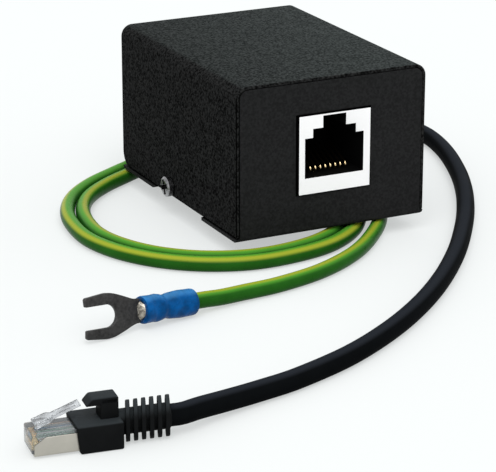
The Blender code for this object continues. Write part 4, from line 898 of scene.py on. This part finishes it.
def add_fork():
    """The fork: a flat outline given thickness, the same on each side of a slot with a round bottom."""
    start, tip, bottom = 10.8 * MM, 21.4 * MM, 15.4 * MM
    half, slot, throat = 3.75 * MM, 1.9 * MM, 2.0 * MM
    flank = np.array([
        (start, throat), (start + 1.2 * MM, throat + 0.15 * MM), (start + 3.4 * MM, 3.0 * MM),
        (start + 5.0 * MM, 3.55 * MM), (tip - 4.2 * MM, half), (tip - 3.4 * MM, half - 0.02 * MM),
    ])
    side = np.vstack([
        even(smooth_curve(flank), 0.25 * MM),
        (tip - 0.25 * MM, half - 0.35 * MM), (tip, half - 0.6 * MM), (tip - 0.1 * MM, slot + 0.1 * MM),
        (tip - 0.3 * MM, slot),
    ])
    inner = arc((bottom + slot, 0.0), slot, 90, 270, 36)
    outline = np.vstack([side, inner, mirrored(side)])[::-1]
    skin = plate_skin(outline, thickness=0.8 * MM, rim=0.14 * MM)
    return add_piece("fork_plate", skin, [tinned_metal], ["fork_terminal"],
                     place=in_terminal)


def add_fork_barrel():
    """The end of the fork's metal barrel that shows at the sleeve: ovals along X that flatten and widen on a
    smooth step until they meet the fork. Its finish is a lighter copy of the fork's metal, a painted
    highlight."""
    share = np.linspace(0, 1, 25)
    fall = smooth_step(share)[:, None]
    x, half_width, half_thick = (9.9 + 1.5 * share) * MM, (1.5 + 0.4 * fall) * MM, (1.4 - 0.95 * fall) * MM
    rings = oval_rings(x, half_width, half_thick, 40)
    return add_piece("fork_barrel", ring_skin(rings), [tin_painted_highlight], place=in_terminal)


sleeve = add_sleeve()
fork = add_fork()
fork_neck = add_fork_barrel()


# Plug


def add_plug_body():
    """The clear body: a rounded block."""
    skin = block_skin((0.0, 10.3 * MM), 0.0, 2.5 * MM, (0.65 * MM, 3.8 * MM), corner=0.3 * MM, rim=0.25 * MM)
    return add_piece("plug_clear_body", skin, [clear_plastic], ["plug_body"], place=in_plug)


def add_plug_shield():
    """The shield: a sheet bent up at both sides, with its front edge cut back on a slope towards the top."""
    half, bottom, top = 2.675 * MM, 0.425 * MM, 3.3 * MM
    front, back, cut_from, cut_back = 0.3 * MM, 10.0 * MM, 2.1 * MM, 1.8 * MM
    line = bend_line([(-half, top), (-half, bottom), (half, bottom), (half, top)], 0.35 * MM, 5)
    line = crowd_ends(line, np.linspace(top, 1.0 * MM, 24)[1:-1])
    start = front + rise_over(cut_from, top - cut_from, line[:, 1]) * cut_back
    skin = sheet_skin(line, start, back, thickness=0.25 * MM, rim=0.06 * MM, run="X")
    return add_piece("plug_shield_sheet", skin, [shield_steel], ["plug_shield"],
                     place=in_plug)


def add_plug_contacts():
    """Eight gold blades at the nose: small rounded blocks."""
    blades = [block_skin((0.6 * MM, 2.4 * MM), way * PLUG_PITCH, 0.11 * MM, (0.85 * MM, 2.15 * MM),
                         corner=0.08 * MM, rim=0.08 * MM, steps=2) for way in EIGHT_WAYS]
    return [add_piece(f"plug_blade_{number}", blade, [gold_plate], [f"plug_contact_{number}"],
                      place=in_plug) for number, blade in enumerate(blades, 1)]


def add_plug_conductors():
    """Eight conductors side by side in the clear body, each second one in its pair's colour."""
    skins = [block_skin((1.3 * MM, 9.9 * MM), way * PLUG_PITCH, 0.2 * MM, (2.25 * MM, 2.65 * MM),
                        corner=0.19 * MM, rim=0.05 * MM) for way in EIGHT_WAYS]
    conductors = add_piece("plug_conductors", join_skins(*skins), conductor_finishes,
                           place=in_plug)
    pale, orange, green, blue, brown = range(5)
    order = [pale, brown, pale, green, pale, blue, pale, orange]
    paint_faces(conductors, np.repeat(order, len(conductors.data.polygons) // len(order)))
    return conductors


def add_latch():
    """The latch tab: a flat outline with wide shoulders, thick at its root, on its slope."""
    side = np.array([(0.0, -1.55), (2.3, -1.55), (2.9, -0.85), (7.3, -0.85)]) * MM
    skin = plate_skin(np.vstack([side, mirrored(side)]), thickness=0.5 * MM, rim=0.1 * MM)
    root = in_plug((0.9 * MM, 0.0, 4.35 * MM))
    place = place_by(PLUG_TURN @ turn_about("Y", -20.0), root)
    return add_piece("latch_tab", skin, [clear_latch], ["plug_latch"], body="latch",
                     place=place)


def add_boot():
    """The boot: a rounded block, a hood on a leg behind the latch, a round core, and six thin ribs that
    lie a little askew, as the photograph shows them."""
    front, back, end, hood_half = 7.4 * MM, 13.6 * MM, 21.3 * MM, 1.5 * MM
    rib, rib_pitch = 0.66 * MM, 1.22 * MM
    block = block_skin((front - 0.35 * MM, back), 0.0, 3.4 * MM, (0.0, 4.35 * MM),
                       corner=0.35 * MM, rim=0.3 * MM, lean=-0.12)
    hood = block_skin((front + 0.95 * MM, back - 0.3 * MM), 0.0, hood_half, (6.5 * MM, 7.7 * MM),
                      corner=0.3 * MM, rim=0.25 * MM, lean=0.9)
    leg = block_skin((back - 3.0 * MM, back - 0.25 * MM), 0.0, hood_half, (3.9 * MM, 7.6 * MM),
                     corner=0.3 * MM, rim=0.25 * MM)
    core = block_skin((back - 0.6 * MM, end), 0.0, 1.95 * MM, (1.0 * MM, 4.9 * MM),
                      corner=1.9 * MM, rim=0.2 * MM, steps=6)
    ribs = [block_skin((start, start + rib), 0.0, 2.8 * MM, (0.05 * MM, 5.9 * MM),
                       corner=2.3 * MM, rim=0.14 * MM, steps=8, askew=0.26)
            for start in back + 1.1 * MM + np.arange(6) * rib_pitch]
    return add_piece("boot_skin", join_skins(block, hood, leg, core, *ribs), [soft_black],
                     ["plug_boot"], place=in_plug)


plug_pieces = [add_plug_body(), add_plug_shield(), *add_plug_contacts(), add_plug_conductors()]
latch = add_latch()
boot = add_boot()


# Room and light


def add_floor():
    """A level pale surface under the cords. Half of what a direct look or a reflection sees of it is plain
    white, so that it stays pale, and the other half keeps the shadows. What it throws up at the pieces is
    less."""
    half, level = 3.0, FLOOR - 0.05 * MM
    throws_up, is_seen = (0.55, 0.555, 0.555, 1.0), (0.725, 0.745, 0.74, 1.0)
    mesh = bpy.data.meshes.new("floor")
    mesh.from_pydata([(-half, -half, level), (half, -half, level), (half, half, level), (-half, half, level)],
                     [], [(0, 1, 2, 3)])
    material = bpy.data.materials.new("pale_floor")
    material.use_nodes = True
    tree = material.node_tree
    shader = tree.nodes["Principled BSDF"]
    rays = tree.nodes.new("ShaderNodeLightPath").outputs
    either = add_math(tree, "MAXIMUM", rays["Is Glossy Ray"], rays["Is Transmission Ray"])
    seen = add_math(tree, "MAXIMUM", rays["Is Camera Ray"], either)
    tone = add_node(tree, "ShaderNodeMix", {"Factor": seen, "A": throws_up, "B": is_seen}, data_type="RGBA")
    set_inputs(tree, shader, {
        "Base Color": tone.outputs["Result"], "Roughness": 0.9, "Specular IOR Level": 0.0})
    white = add_node(tree, "ShaderNodeEmission", {"Color": (0.975, 1.0, 0.995, 1.0), "Strength": 1.0})
    half_seen = add_math(tree, "MULTIPLY", seen, 0.5)
    mix = add_node(tree, "ShaderNodeMixShader", {
        "Fac": half_seen, 1: shader.outputs["BSDF"], 2: white.outputs["Emission"]})
    tree.links.new(mix.outputs["Shader"], tree.nodes["Material Output"].inputs["Surface"])
    mesh.materials.append(material)
    put_in_scene("floor", mesh)


def add_light():
    """Even pale surroundings and one very broad lamp from above the camera."""
    world = bpy.data.worlds.new("surroundings")
    world.use_nodes = True
    set_inputs(world.node_tree, world.node_tree.nodes["Background"], {
        "Color": (0.98, 0.99, 1.0, 1.0), "Strength": 0.93})
    bpy.context.scene.world = world
    lamp = bpy.data.lights.new("broad_lamp", "SUN")
    lamp.energy = 1.7
    lamp.angle = math.radians(50.0)
    sun = put_in_scene("broad_lamp", lamp)
    sun.rotation_euler = Vector((0.25, 0.55, -0.8)).to_track_quat("-Z", "Y").to_euler()


add_floor()
add_light()
bpy.context.scene.view_settings.view_transform = "Standard"
